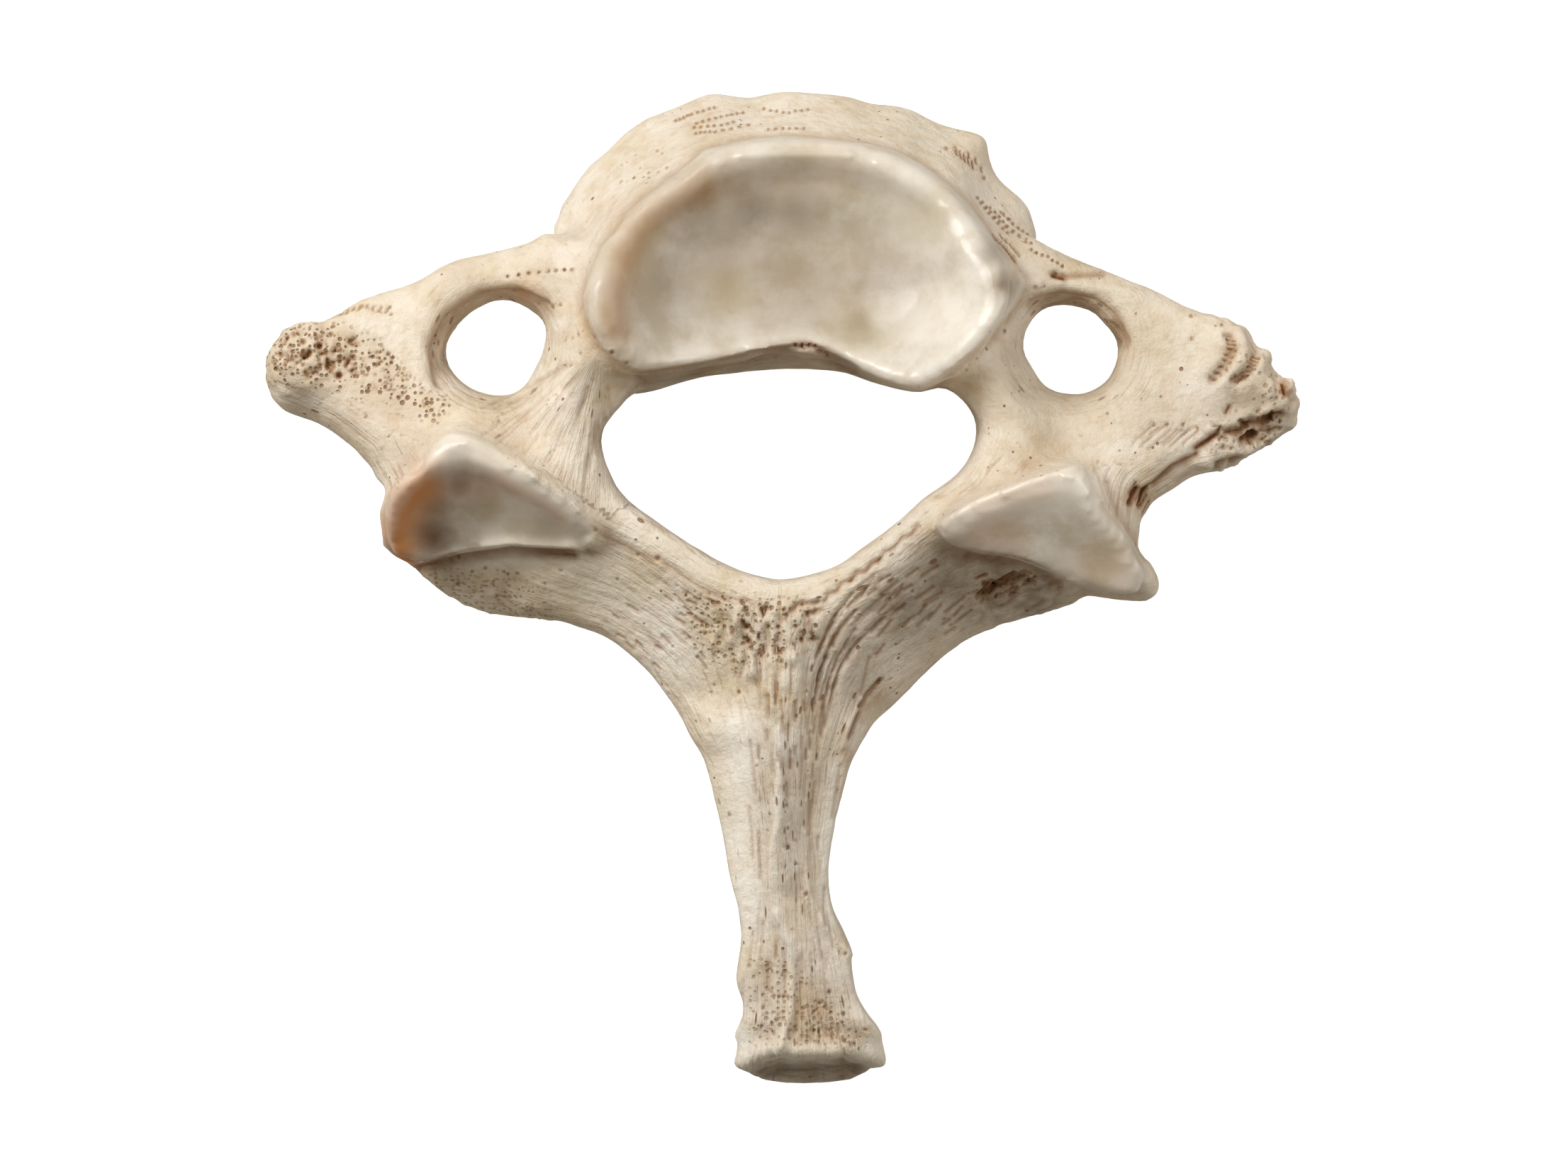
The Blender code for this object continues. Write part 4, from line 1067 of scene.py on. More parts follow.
@dataclass
class BonePaint:
    """The masks that are painted on the skin for its material."""

    joint_feather: float = 0.30
    field_gap: float = 40.0
    ring_radius: float = 4.0
    fan_spread: float = 8.0
    border_gain: float = 1.3

    def joints(self) -> tuple[Patch, ...]:
        """Gives the smooth joint faces: the endplate and the two upper facets."""
        return tuple(Patch(e, self.joint_feather) for e in (RIM_EDGE, LEFT_FACET_EDGE, RIGHT_FACET_EDGE))

    def grains(self) -> tuple[Grain, ...]:
        """Gives the fields of fibres.

        Returns:
            The fields, of which the strongest wins at each point.
        """
        left = CREST + CANAL_LEFT
        right = CREST + CANAL_RIGHT
        left_area = left + LEFT_BACK_EDGE[::-1]
        right_area = right + RIGHT_BACK_EDGE[::-1]
        fan = (
            (-12.9, 7.4), (-16.0, 6.0), (-19.3, 4.4), (-19.6, 2.4), (-17.0, 0.7), (-14.6, -1.2),
            (-12.0, -3.0), (-10.6, -2.0), (-11.8, 0.5), (-12.2, 4.0),
        )
        tip = (
            (-35.6, 6.2), (-30.8, 5.0), (-27.2, 2.6), (-24.8, 1.6), (-26.4, -1.4), (-29.0, 0.4),
            (-33.0, 3.4),
        )
        strut = (
            (21.6, 0.2), (26.0, 0.6), (30.0, 1.6), (29.4, 0.0), (25.4, -2.0), (24.8, -5.6), (22.2, -2.8),
        )
        ring = ((-24.6, 12.8), (-15.6, 12.8), (-14.8, 5.0), (-20.0, 3.8), (-24.8, 5.4))
        other = ((15.0, 13.0), (24.4, 13.0), (25.0, 5.0), (20.0, 3.6), (14.6, 5.0))
        return (
            Grain(Patch(left_area, 0.6), Flow.BETWEEN, left, LEFT_BACK_EDGE, 5.6, -1.0),
            Grain(Patch(right_area, 0.6), Flow.BETWEEN, right, RIGHT_BACK_EDGE, 5.6, 1.0),
            Grain(Patch(fan, 0.7), Flow.FAN, ((-12.6, 8.6),)),
            Grain(Patch(tip, 0.6, 0.9),
                  Flow.ALONG, ((-35.4, 5.2), (-31.3, 3.4), (-28.6, 1.4), (-27.0, -1.6))),
            Grain(Patch(strut, 0.5, 1.0),
                  Flow.ALONG, ((32.0, 1.2), (28.0, 0.4), (25.0, -1.6), (24.4, -5.6))),
            Grain(Patch(ring, 0.8, 0.6), Flow.RING, ((-20.0, 8.8),)),
            Grain(Patch(other, 0.8, 0.5), Flow.RING, ((19.5, 8.8),)),
        )

    def rows(self) -> tuple[Patch, ...]:
        """Gives the areas with rows of long pores.

        Returns:
            The areas.
        """
        channel = ((-0.35, -15.0), (1.25, -15.0), (1.2, -24.0), (1.1, -28.6), (0.2, -30.6), (-0.5, -28.0))
        junction = ((-2.8, -11.8), (2.6, -11.0), (2.6, -18.0), (-0.4, -20.0), (-2.6, -18.0))
        beside = ((-2.2, -17.0), (-1.1, -17.0), (-1.2, -25.4), (-1.8, -25.0))
        fan = ((0.7, -34.0), (1.9, -33.6), (5.6, -38.6), (5.4, -39.2), (0.2, -39.0))
        furrow = ((3.0, -24.0), (4.2, -18.0), (6.8, -13.6), (5.6, -13.0), (3.2, -17.0), (2.4, -22.0))
        strut = ((2.4, -29.6), (3.6, -30.4), (4.8, -32.6), (4.4, -33.8))
        return (
            Patch(channel, 0.2, 1.0),
            Patch(junction, 0.6, 0.7),
            Patch(beside, 0.3, 0.6),
            Patch(fan, 0.4, 0.8),
            Patch(furrow, 0.4, 0.5),
            Patch(strut, 0.3, 0.4),
        )

    def calm(self) -> tuple[Patch, ...]:
        """Gives the rubbed flanks of the spine, where few fibres show.

        Returns:
            The areas.
        """
        left = (
            (-5.8, -15.0), (-3.0, -16.0), (-2.2, -24.0), (-2.0, -30.0), (-1.4, -33.4), (-4.2, -34.0),
            (-4.6, -24.0),
        )
        right = (
            (2.4, -22.0), (3.8, -19.0), (4.6, -22.0), (3.4, -28.0), (5.0, -33.4), (8.0, -39.0),
            (5.8, -38.2), (2.6, -31.0),
        )
        corner = ((-4.6, -37.6), (-2.2, -37.8), (-2.4, -40.0), (-4.6, -40.6))
        other = ((5.2, -38.4), (7.4, -38.0), (7.6, -40.4), (5.2, -40.2))
        return (Patch(left, 0.7), Patch(right, 0.5), Patch(corner, 0.5), Patch(other, 0.5))

    def light(self) -> tuple[Band | Stain, ...]:
        """Gives the painted light: pale blots and bands that make places look more lit.

        Returns:
            The blots and bands.
        """
        return (
            Band(((-0.45, -17.5), (-0.4, -23.3), (-0.85, -25.6), (-0.9, -28.0), (-0.6, -30.6)), 0.45, 0.8),
            Band(((-0.6, -30.6), (0.1, -32.0), (0.4, -34.3), (0.3, -36.7), (-0.3, -39.1)), 0.42, 0.9),
            Band(((-3.2, -17.0), (-2.9, -24.0), (-2.3, -31.0)), 1.5, 1.10),
            Band(((3.5, -20.5), (3.1, -24.0), (2.7, -28.0), (3.0, -30.4)), 0.9, 1.0),
            Band(((0.4, -18.0), (0.45, -28.0)), 0.9, 0.40),
            Band(((-25.7, -0.2), (-24.5, 0.8), (-23.4, 1.3)), 0.5, 0.9),
            Band(((-21.0, 1.1), (-19.4, 0.1), (-17.8, -0.9), (-16.0, -1.9), (-14.6, -3.0)), 0.5, 1.0),
            Band(((2.6, -31.6), (3.6, -33.6), (5.2, -36.8)), 0.8, 0.6),
            Band(((13.0, -2.4), (16.5, -1.6), (19.6, -0.6), (21.0, -2.6)), 1.1, 0.95),
            Band(((-24.6, 1.6), (-22.6, 2.3), (-20.4, 1.8), (-17.6, -0.4)), 0.7, 0.6),
            Band(((0.2, -9.6), (0.1, -10.6), (0.5, -11.8), (0.3, -12.8)), 0.32, 0.9),
            Band(((-1.6, -9.8), (-1.8, -11.0), (-2.3, -12.4), (-2.2, -13.6)), 0.32, 0.9),
            Band(((-0.9, -9.4), (-0.9, -10.6), (-0.6, -11.8)), 0.28, 0.8),
            Band(((-13.2, -6.8), (-9.4, -9.8), (-6.6, -13.4)), 1.6, 0.75),
            Stain(-6.0, -12.4, 1.6, 0.6), Stain(-2.6, -36.6, 1.2, 0.6), Stain(-1.6, -36.2, 1.9, 0.95),
            Stain(-2.4, -10.4, 2.2, 0.50), Stain(-3.0, -38.6, 1.2, 1.2), Stain(-2.9, -39.8, 1.0, 0.9),
            Stain(6.2, -39.3, 1.0, 0.7), Stain(21.4, -4.8, 2.0, 0.3), Stain(28.0, 6.2, 1.8, 0.9),
            Stain(-3.0, -40.4, 1.2, 0.6), Stain(22.8, -6.4, 1.6, 0.5), Stain(8.6, 16.8, 2.4, 0.6),
            Stain(11.4, 10.4, 3.4, 0.55), Stain(7.6, 19.9, 1.8, 0.6), Stain(3.0, 21.0, 1.4, 0.6),
            Stain(-2.0, 21.0, 1.4, 0.5), Stain(-15.0, 5.2, 1.4, 0.5), Stain(-18.0, -2.6, 1.2, 0.5),
            Stain(12.8, 20.4, 1.6, 0.5),
        )

    def honey(self) -> tuple[Band | Stain, ...]:
        """Gives the golden-brown bands and blots.

        Returns:
            The blots and bands.
        """
        return (
            Band(((-11.6, 9.6), (-11.5, 12.0), (-10.9, 14.6), (-9.9, 16.6), (-8.2, 18.2), (-5.6, 19.4)),
                 1.35, 0.85),
            Band(((-12.8, 10.0), (-12.6, 12.4), (-12.0, 13.8), (-10.9, 16.2)), 0.9, 0.42),
            Band(((3.9, -22.0), (4.4, -18.0), (6.4, -14.4)), 0.6, 0.35),
            Stain(-3.8, 19.7, 1.8, 0.42), Stain(-0.6, 20.0, 1.8, 0.22), Stain(-11.2, 8.4, 1.4, 0.30),
            Stain(-22.0, 13.2, 1.6, 0.35), Stain(-28.0, 4.2, 2.6, 0.30), Stain(-24.8, 2.6, 2.0, 0.08),
            Stain(-20.0, 4.0, 2.4, 0.20), Stain(16.4, 1.6, 3.0, 0.18), Stain(20.2, 14.2, 1.8, 0.20),
            Stain(-12.6, 9.4, 1.4, 0.30), Stain(26.0, 4.0, 2.4, 0.26), Stain(23.0, 7.0, 2.4, 0.14),
            Stain(-31.6, 7.8, 2.0, 0.24), Stain(-2.4, -10.4, 2.0, 0.08), Stain(-1.4, -35.6, 1.2, 0.16),
            Stain(1.6, -36.6, 1.4, 0.30), Stain(3.8, -38.2, 1.2, 0.30), Stain(0.4, -24.4, 0.7, 0.15),
            Stain(0.4, -20.4, 0.7, 0.25), Stain(0.4, -27.6, 0.6, 0.20), Stain(-1.6, -22.0, 0.6, 0.35),
            Stain(23.6, -1.6, 1.0, 0.45), Stain(12.6, 21.6, 1.2, 0.30), Stain(15.4, 16.8, 1.4, 0.25),
            Stain(-5.4, 24.0, 2.2, 0.20), Stain(31.0, 8.6, 1.6, 0.30), Stain(-16.0, 13.2, 1.6, 0.20),
            Stain(14.4, 12.8, 1.1, 0.35),
        )

    def warm(self) -> tuple[Band | Stain, ...]:
        """Gives the orange and tan blots and bands; in the left facet's upper-left interior they are also
        painted shade.

        Returns:
            The blots and bands.
        """
        return (
            Band(((-26.5, -5.8), (-26.4, -3.7), (-25.5, -1.9), (-24.4, -0.8)), 1.35, 1.05),
            Band(((-24.0, -0.8), (-20.4, -0.6)), 1.4, 0.26),
            Band(((-19.6, -0.5), (-17.4, -1.6), (-15.2, -2.8)), 0.6, 0.35),
            Band(((13.0, -2.4), (15.4, -1.6), (17.4, -1.2)), 0.9, 0.22),
            Stain(-23.9, -0.7, 1.5, 0.62), Stain(-18.0, 12.4, 0.9, 0.5), Stain(14.0, -3.6, 2.6, 0.22),
            Stain(21.6, -6.4, 2.2, 0.22), Stain(3.4, 21.0, 2.0, 0.12), Stain(-12.0, 18.0, 1.6, 0.15),
            Stain(34.1, 5.8, 0.6, 0.8), Stain(23.8, -1.6, 0.8, 0.3),
        )

    def olive(self) -> tuple[Band | Stain, ...]:
        """Gives the yellow-green blots.

        Returns:
            The blots.
        """
        return (
            Stain(-3.9, 12.7, 1.9, 0.9), Stain(5.3, 10.4, 2.0, 0.9), Stain(1.8, 15.8, 3.0, 0.35),
            Stain(9.4, 17.8, 2.2, 0.45), Stain(0.5, 19.3, 3.2, 0.35), Stain(5.2, 19.0, 2.6, 0.35),
            Stain(-20.0, -2.5, 1.3, 0.7), Stain(-18.6, -3.4, 1.6, 0.4), Stain(21.6, -5.4, 2.0, 0.55),
            Stain(-14.0, -7.0, 2.6, 0.6), Stain(-10.6, -7.2, 2.2, 0.5), Stain(-19.6, 4.4, 2.2, 0.4),
            Stain(16.6, 2.4, 2.6, 0.35), Stain(-3.6, -23.0, 1.5, 0.35), Stain(-24.6, 1.8, 1.2, 0.4),
            Stain(8.4, 23.0, 2.4, 0.25), Stain(-6.4, -14.6, 2.0, 0.35), Stain(25.0, 9.0, 3.0, 0.25),
            Stain(-17.6, -8.6, 2.0, 0.5), Stain(16.8, 8.0, 1.2, 0.25), Stain(-2.2, -32.6, 1.6, 0.30),
        )

    def painted_grey_shade(self) -> tuple[Band | Stain, ...]:
        """Gives the grey painted shade: cool, dark blots and bands.

        Returns:
            The blots and bands.
        """
        return (
            Band(((-2.0, -41.0), (1.2, -40.9), (5.0, -40.8)), 0.8, 0.9),
            Band(((-21.6, -1.6), (-19.8, -2.4)), 1.4, 0.50),
            Stain(12.5, -7.6, 3.6, 0.9), Stain(8.0, -9.0, 3.0, 0.6), Stain(17.0, -8.0, 2.6, 0.9),
            Stain(3.6, -16.0, 2.4, 0.5), Stain(2.4, -22.0, 2.0, 0.35), Stain(4.2, -35.4, 1.8, 0.5),
            Stain(3.2, -31.4, 1.6, 0.3), Stain(31.4, 4.4, 2.4, 0.5), Stain(33.0, 3.0, 1.6, 0.5),
            Stain(-23.6, -7.0, 2.0, 0.4), Stain(15.2, 12.8, 1.0, 0.6), Stain(26.0, 1.0, 2.0, 0.3),
            Stain(1.0, -24.0, 0.8, 0.10), Stain(14.3, 12.8, 0.9, 0.6), Stain(13.7, 14.8, 0.9, 0.6),
            Stain(-3.0, 15.4, 5.5, 0.55), Stain(4.4, 15.6, 5.5, 0.45), Stain(-6.0, 12.6, 5.0, 0.60),
            Stain(0.6, 12.8, 4.6, 0.85), Stain(5.6, 12.4, 3.6, 0.55), Stain(2.4, -21.0, 1.0, 0.5),
            Stain(-4.6, 17.0, 3.0, 0.85), Stain(0.6, 17.2, 3.0, 0.80), Stain(31.2, 5.2, 1.8, 0.65),
            Stain(20.0, 14.0, 2.4, 0.30), Stain(-16.2, -4.0, 1.3, 0.55),
        )

    def painted_shade(self) -> tuple[Band | Stain, ...]:
        """Gives the brown painted shade: blots and bands in the shaded hollows.

        Returns:
            The blots and bands.
        """
        return (
            Band(((-1.6, -41.0), (1.5, -41.2), (4.6, -40.9)), 0.8, 0.75),
            Band(((-9.6, 6.4), (-5.0, 7.0), (-1.0, 8.0), (1.5, 8.5), (3.2, 7.7), (5.4, 6.3)), 0.5, 0.45),
            Band(((-23.6, 7.4), (-22.6, 10.4), (-20.0, 11.8), (-17.4, 11.6)), 0.5, 0.25),
            Band(((17.4, 11.5), (20.0, 12.0), (22.4, 10.6), (22.9, 9.0)), 0.5, 0.30),
            Stain(-24.0, -4.4, 2.2, 1.05), Stain(-23.8, -2.2, 1.8, 0.80), Stain(-22.0, -3.6, 2.2, 0.50),
            Stain(-23.5, -1.1, 1.4, 0.66), Stain(-22.1, -0.9, 1.4, 0.72), Stain(-20.8, -1.2, 1.4, 0.50),
            Stain(-25.6, -5.4, 1.2, 0.80), Stain(-22.5, 1.5, 0.7, 0.35), Stain(-21.4, -2.2, 1.8, 0.52),
            Stain(-2.2, 18.1, 1.9, 0.56), Stain(-6.6, 16.2, 1.8, 0.25), Stain(13.8, 14.6, 1.0, 0.52),
            Stain(14.4, 12.7, 1.0, 0.58), Stain(-33.0, 5.0, 1.3, 0.35), Stain(4.9, -12.2, 1.8, 0.34),
            Stain(32.0, 4.8, 2.2, 0.32), Stain(30.2, 5.0, 1.3, 0.50), Stain(-3.9, 12.7, 1.6, 0.25),
            Stain(5.3, 10.4, 1.6, 0.28), Stain(6.0, -40.2, 0.9, 0.25), Stain(11.2, -7.2, 2.6, 0.60),
            Stain(14.4, -7.6, 2.2, 0.70), Stain(8.0, -9.0, 2.6, 0.53), Stain(17.2, -8.4, 1.8, 0.45),
            Stain(3.6, -14.6, 2.2, 0.22), Stain(31.0, 2.6, 1.6, 0.42), Stain(32.4, 3.2, 1.2, 0.35),
            Stain(30.4, 4.6, 2.0, 0.24), Stain(-5.0, 17.4, 2.4, 0.22), Stain(0.6, 17.6, 2.4, 0.32),
            Stain(-1.6, 13.6, 5.6, 0.27), Stain(6.4, 12.4, 2.6, 0.26), Stain(-7.2, 12.6, 3.0, 0.26),
            Stain(-17.6, -3.8, 2.4, 0.22),
        )

    def blots(self, clay: Clay, stains: tuple) -> np.ndarray:
        """Paints a list of blots on the upper faces.

        Args:
            clay: The sculpted points.
            stains: The blots and bands.

        Returns:
            One mask, the strongest blot at each point.
        """
        places = clay.places
        mask = np.zeros(len(places))
        for stain_and_shade in stains:
            if isinstance(stain_and_shade, Band):
                gap = follow(places[:, :2], stain_and_shade.points)[0] / stain_and_shade.width
            else:
                gap = np.hypot(places[:, 0] - stain_and_shade.x, places[:, 1] - stain_and_shade.y) / stain_and_shade.radius
            mask = np.maximum(mask, stain_and_shade.strength * np.exp(-(gap**2)))
        return mask * facing_up(clay.normals)

    def fibres(self, clay: Clay) -> tuple[np.ndarray, np.ndarray]:
        """Lays the fibre fields over the skin.

        Args:
            clay: The sculpted points.

        Returns:
            Coordinates across and along the fibres, and how strongly they show.
        """
        plan = clay.places[:, :2]
        coords = np.zeros((len(plan), 3))
        weights = []
        fresh = []
        for number, grain in enumerate(self.grains()):
            weight = np.clip(cover(plan, grain.patch), 0.0, 1.0)
            shares_arch = grain.flow is Flow.BETWEEN
            weights = [old if shares_arch else old * (1.0 - weight) for old in weights]
            weights.append(weight)
            across, along = self.lie(plan, grain)
            level = np.full(len(plan), 0.0 if shares_arch else self.field_gap * number)
            if grain.flow is Flow.RING:
                level += self.ring_radius * np.sin(along)
                along = self.ring_radius * np.cos(along)
            fresh.append(np.stack([across, along, level], axis=1))
        arch = np.maximum(weights[0], weights[1])
        rank = np.sort(np.stack([arch, *weights[2:]]), axis=0)
        choice = np.argmax(np.stack(weights), axis=0)
        for number, place in enumerate(fresh):
            coords = np.where((choice == number)[:, None], place, coords)
        return coords, np.clip(self.border_gain * (rank[-1] - rank[-2]), 0.0, 1.0)

    def lie(self, plan: np.ndarray, grain: Grain) -> tuple[np.ndarray, np.ndarray]:
        """Measures one field of fibres.

        Args:
            plan: Points in plan.
            grain: The field.

        Returns:
            How far each point is across the fibres, and along them.
        """
        if grain.flow is Flow.FAN or grain.flow is Flow.RING:
            x = plan[:, 0] - grain.inner[0][0]
            y = plan[:, 1] - grain.inner[0][1]
            turn = np.arctan2(y, x) % (2.0 * math.pi)
            out = np.hypot(x, y)
            if grain.flow is Flow.FAN:
                return turn * self.fan_spread, out
            return out, turn
        gap, run = follow(plan, grain.inner)
        if grain.flow is Flow.ALONG:
            return gap, run
        rest, _ = follow(plan, grain.outer)
        return grain.mirror * grain.spread * gap / (gap + rest + 1e-6), run


@dataclass
class BoneSkin:
    """The one outer surface of the bone, from the CAD solid to the finished mesh."""

    coarse: float = 0.575
    smoothing: int = 4
    split_smoothing: int = 2
    calm_middle: tuple = (1.0, 13.6)
    calm_reach: tuple = (9.0, 3.4)
    faint_stain: float = 0.4
    wide_groove: float = 0.27
    groove_step: float = 0.2
    groove_share: float = 0.8
    pore_margin: float = 0.05
    fine_normal: float = 0.08
    wave_height: float = 0.07
    pore_width: float = 0.78
    pore_depth: float = 0.55
    end_slope: float = 2.6
    end_foot: float = 0.34
    corner_rounds: int = 20
    fine_rounds: int = 5
    fine_gain: float = 7.0
    broad_rounds: int = 60
    broad_gain: float = 1.1
    hollow_shade_share: float = 0.6
    ridge_highlight_gain: float = 6.0
    painted_light_share: float = 0.7
    calm_share: float = 0.65
    marks: BoneMarks = field(default_factory=BoneMarks)
    paint: BonePaint = field(default_factory=BonePaint)

    def build(self) -> bpy.types.Object:
        """Makes the skin.

        Returns:
            The finished mesh object, still without its material.
        """
        piece = self.cast()
        self.remesh(piece)
        self.refine(piece, self.upper_faces)
        self.refine(piece, self.pore_faces())
        clay = self.sculpt(piece)
        self.dress(piece, clay)
        LOG.info("skin: %d points, %d faces", len(piece.data.vertices), len(piece.data.polygons))
        return piece

    def cast(self) -> bpy.types.Object:
        """Copies the CAD solid's mesh into a new object and merges its loose triangles.

        Returns:
            The copy.
        """
        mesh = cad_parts[NODE].data.copy()
        mesh.materials.clear()
        form = bmesh.new()
        form.from_mesh(mesh)
        bmesh.ops.remove_doubles(form, verts=form.verts, dist=0.00001)
        bmesh.ops.recalc_face_normals(form, faces=form.faces)
        form.to_mesh(mesh)
        form.free()
        mesh.name = "bone_skin"
        piece = bpy.data.objects.new("bone_skin", mesh)
        bpy.context.collection.objects.link(piece)
        return piece

    def remesh(self, piece: bpy.types.Object) -> None:
        """Gives the piece even faces and takes the CAD facets off.

        Args:
            piece: The copy of the solid.
        """
        even = piece.modifiers.new("even", "REMESH")
        even.mode = "VOXEL"
        even.voxel_size = self.coarse * MM
        even.use_smooth_shade = True
        soft = piece.modifiers.new("soft", "SMOOTH")
        soft.factor = 0.5
        soft.iterations = self.smoothing
        apply_all(piece)

    def upper_faces(self, centre: Vector, normal: Vector) -> bool:
        """Picks the faces that look up, but for the calm middle of the endplate.

        Args:
            centre: The middle of a face.
            normal: The face's normal.

        Returns:
            Whether the face is split.
        """
        across = (centre.x / MM - CANAL_SHIFT[0] - self.calm_middle[0]) / self.calm_reach[0]
        along = (centre.y / MM - CANAL_SHIFT[1] - self.calm_middle[1]) / self.calm_reach[1]
        return normal.z > self.fine_normal and across**2 + along**2 > 1.0

    def pore_faces(self) -> Callable[[Vector, Vector], bool]:
        """Makes the test that picks the faces round the single pores.

        Returns:
            A test of a face's centre and normal.
        """
        marks = [(x, y, radius) for x, y, radius, _ in self.marks.pits()]
        for stroke in self.marks.strokes() + self.marks.bars():
            if stroke.stain_and_shade < self.faint_stain and stroke.width > self.wide_groove:
                continue
            for (ax, ay), (bx, by) in zip(stroke.points[:-1], stroke.points[1:]):
                steps = 2 + int(math.hypot(bx - ax, by - ay) / self.groove_step)
                reach = self.groove_share * stroke.width
                for part in np.linspace(0.0, 1.0, steps):
                    marks.append((ax + part * (bx - ax), ay + part * (by - ay), reach))
        tree = KDTree(len(marks))
        for number, mark in enumerate(marks):
            tree.insert((mark[0], mark[1], 0.0), number)
        tree.balance()

        def near_pore(centre: Vector, normal: Vector) -> bool:
            """Tells whether a face lies at a pore.

            Args:
                centre: The middle of the face.
                normal: Its normal.

            Returns:
                Whether it is split.
            """
            x = centre.x / MM - CANAL_SHIFT[0]
            y = centre.y / MM - CANAL_SHIFT[1]
            _, number, gap = tree.find((x, y, 0.0))
            return normal.z > self.fine_normal and gap < marks[number][2] + self.pore_margin

        return near_pore

    def refine(self, piece: bpy.types.Object, choose: Callable[[Vector, Vector], bool]) -> None:
        """Splits the chosen faces in four.

        Args:
            piece: The object to refine.
            choose: Tells from a face's centre and normal whether it is split.
        """
        form = bmesh.new()
        form.from_mesh(piece.data)
        edges = set()
        for face in form.faces:
            if choose(face.calc_center_median(), face.normal):
                edges.update(face.edges)
        bmesh.ops.subdivide_edges(form, edges=list(edges), cuts=1, use_grid_fill=True, smooth=0.0)
        form.to_mesh(piece.data)
        form.free()
        LOG.info("refined to %d triangles", sum(len(face.vertices) - 2 for face in piece.data.polygons))
        soft = piece.modifiers.new("soft", "SMOOTH")
        soft.factor = 0.5
        soft.iterations = self.split_smoothing
        apply_all(piece)

    def sculpt(self, piece: bpy.types.Object) -> Clay:
        """Presses the marks into the skin, large ones first.

        Args:
            piece: The skin.

        Returns:
            Its points after the last mark.
        """
        clay = Clay.of(piece.data)
        smooth = self.joint_mask(clay)
        wave = ripple(clay.places, 2.6, 3.1) + 0.5 * ripple(clay.places, 1.1, 8.4)
        clay.places += (self.wave_height * wave * (1.0 - 0.75 * smooth))[:, None] * clay.normals
        for level in self.marks.levels():
            clay.level(level)
        for pull in self.marks.pulls():
            clay.pull(pull)
        for dent in self.marks.dents():
            clay.dent(dent)
        clay.cut_end(self.marks.end_crest, self.end_slope, self.end_foot)
        for lobe in self.marks.lobes():
            clay.soften(lobe, self.corner_rounds)
        clay.put(piece.data)
        clay = Clay.of(piece.data)
        for mark in self.marks.lumps():
            clay.lump(mark)
        for rough in self.marks.roughs():
            clay.roughen(rough)
        for mark in self.marks.strokes():
            clay.stroke(mark)
        clay.put(piece.data)
        clay = Clay.of(piece.data, clay.pits)
        for mark in self.marks.bars():
            clay.stroke(mark)
        for x, y, radius, depth in self.marks.pits():
            clay.pit(x, y, self.pore_width * radius, self.pore_depth * depth)
        clay.put(piece.data)
        return Clay.of(piece.data, clay.pits)

    def joint_mask(self, clay: Clay) -> np.ndarray:
        """Weighs the points of the joint faces, from 0 to 1."""
        mask = sum(cover(clay.places[:, :2], patch) for patch in self.paint.joints())
        return np.clip(mask, 0.0, 1.0) * facing_up(clay.normals)

    def dress(self, piece: bpy.types.Object, clay: Clay) -> None:
        """Stores the painted masks on the mesh for the material.

        Args:
            piece: The skin.
            clay: Its sculpted points.
        """
        fine = clay.hollows(self.fine_rounds)
        broad = clay.hollows(self.broad_rounds)
        coords, strength = self.paint.fibres(clay)
        joint = self.joint_mask(clay)
        sponge = self.sponge_mask(clay)
        # Painted light: pale blots and bands, which also thin out the painted shade of the hollows.
        light = self.paint.blots(clay, self.paint.light())
        calm = strongest(clay, self.paint.calm())
        # Painted shade: how far points lie in hollows, browned in the material.
        hollow_shade = np.clip(self.fine_gain * fine, 0.0, 1.0) * self.hollow_shade_share
        hollow_shade += np.clip(self.broad_gain * broad, 0.0, 1.0) * self.hollow_shade_share
        masks = {
            "joint": joint,
            "pit": clay.pits,
            "hollow_shade": hollow_shade * (1.0 - self.painted_light_share * np.clip(light, 0.0, 1.0)),
            # Painted highlight on convex ridges.
            "crest": np.clip(-self.ridge_highlight_gain * fine, 0.0, 1.0),
            "fibre": strength * (1.0 - joint) * (1.0 - self.calm_share * calm) * facing_up(clay.normals),
            "sponge": sponge * (1.0 - joint),
            "warm": self.paint.blots(clay, self.paint.warm()),
            "olive": self.paint.blots(clay, self.paint.olive()),
            "painted_grey_shade": self.paint.blots(clay, self.paint.painted_grey_shade()),
            "painted_shade": self.paint.blots(clay, self.paint.painted_shade()),
            "honey": self.paint.blots(clay, self.paint.honey()),
            "light": light,
            "rows": strongest(clay, self.paint.rows()),
        }
        for name, mask in masks.items():
            layer = piece.data.attributes.new(name, "FLOAT", "POINT")
            layer.data.foreach_set("value", mask.astype(np.float32))
        layer = piece.data.attributes.new("lie", "FLOAT_VECTOR", "POINT")
        layer.data.foreach_set("vector", coords.astype(np.float32).ravel())
        bpy.ops.object.select_all(action="DESELECT")
        piece.select_set(True)
        bpy.context.view_layer.objects.active = piece
        bpy.ops.object.shade_smooth()

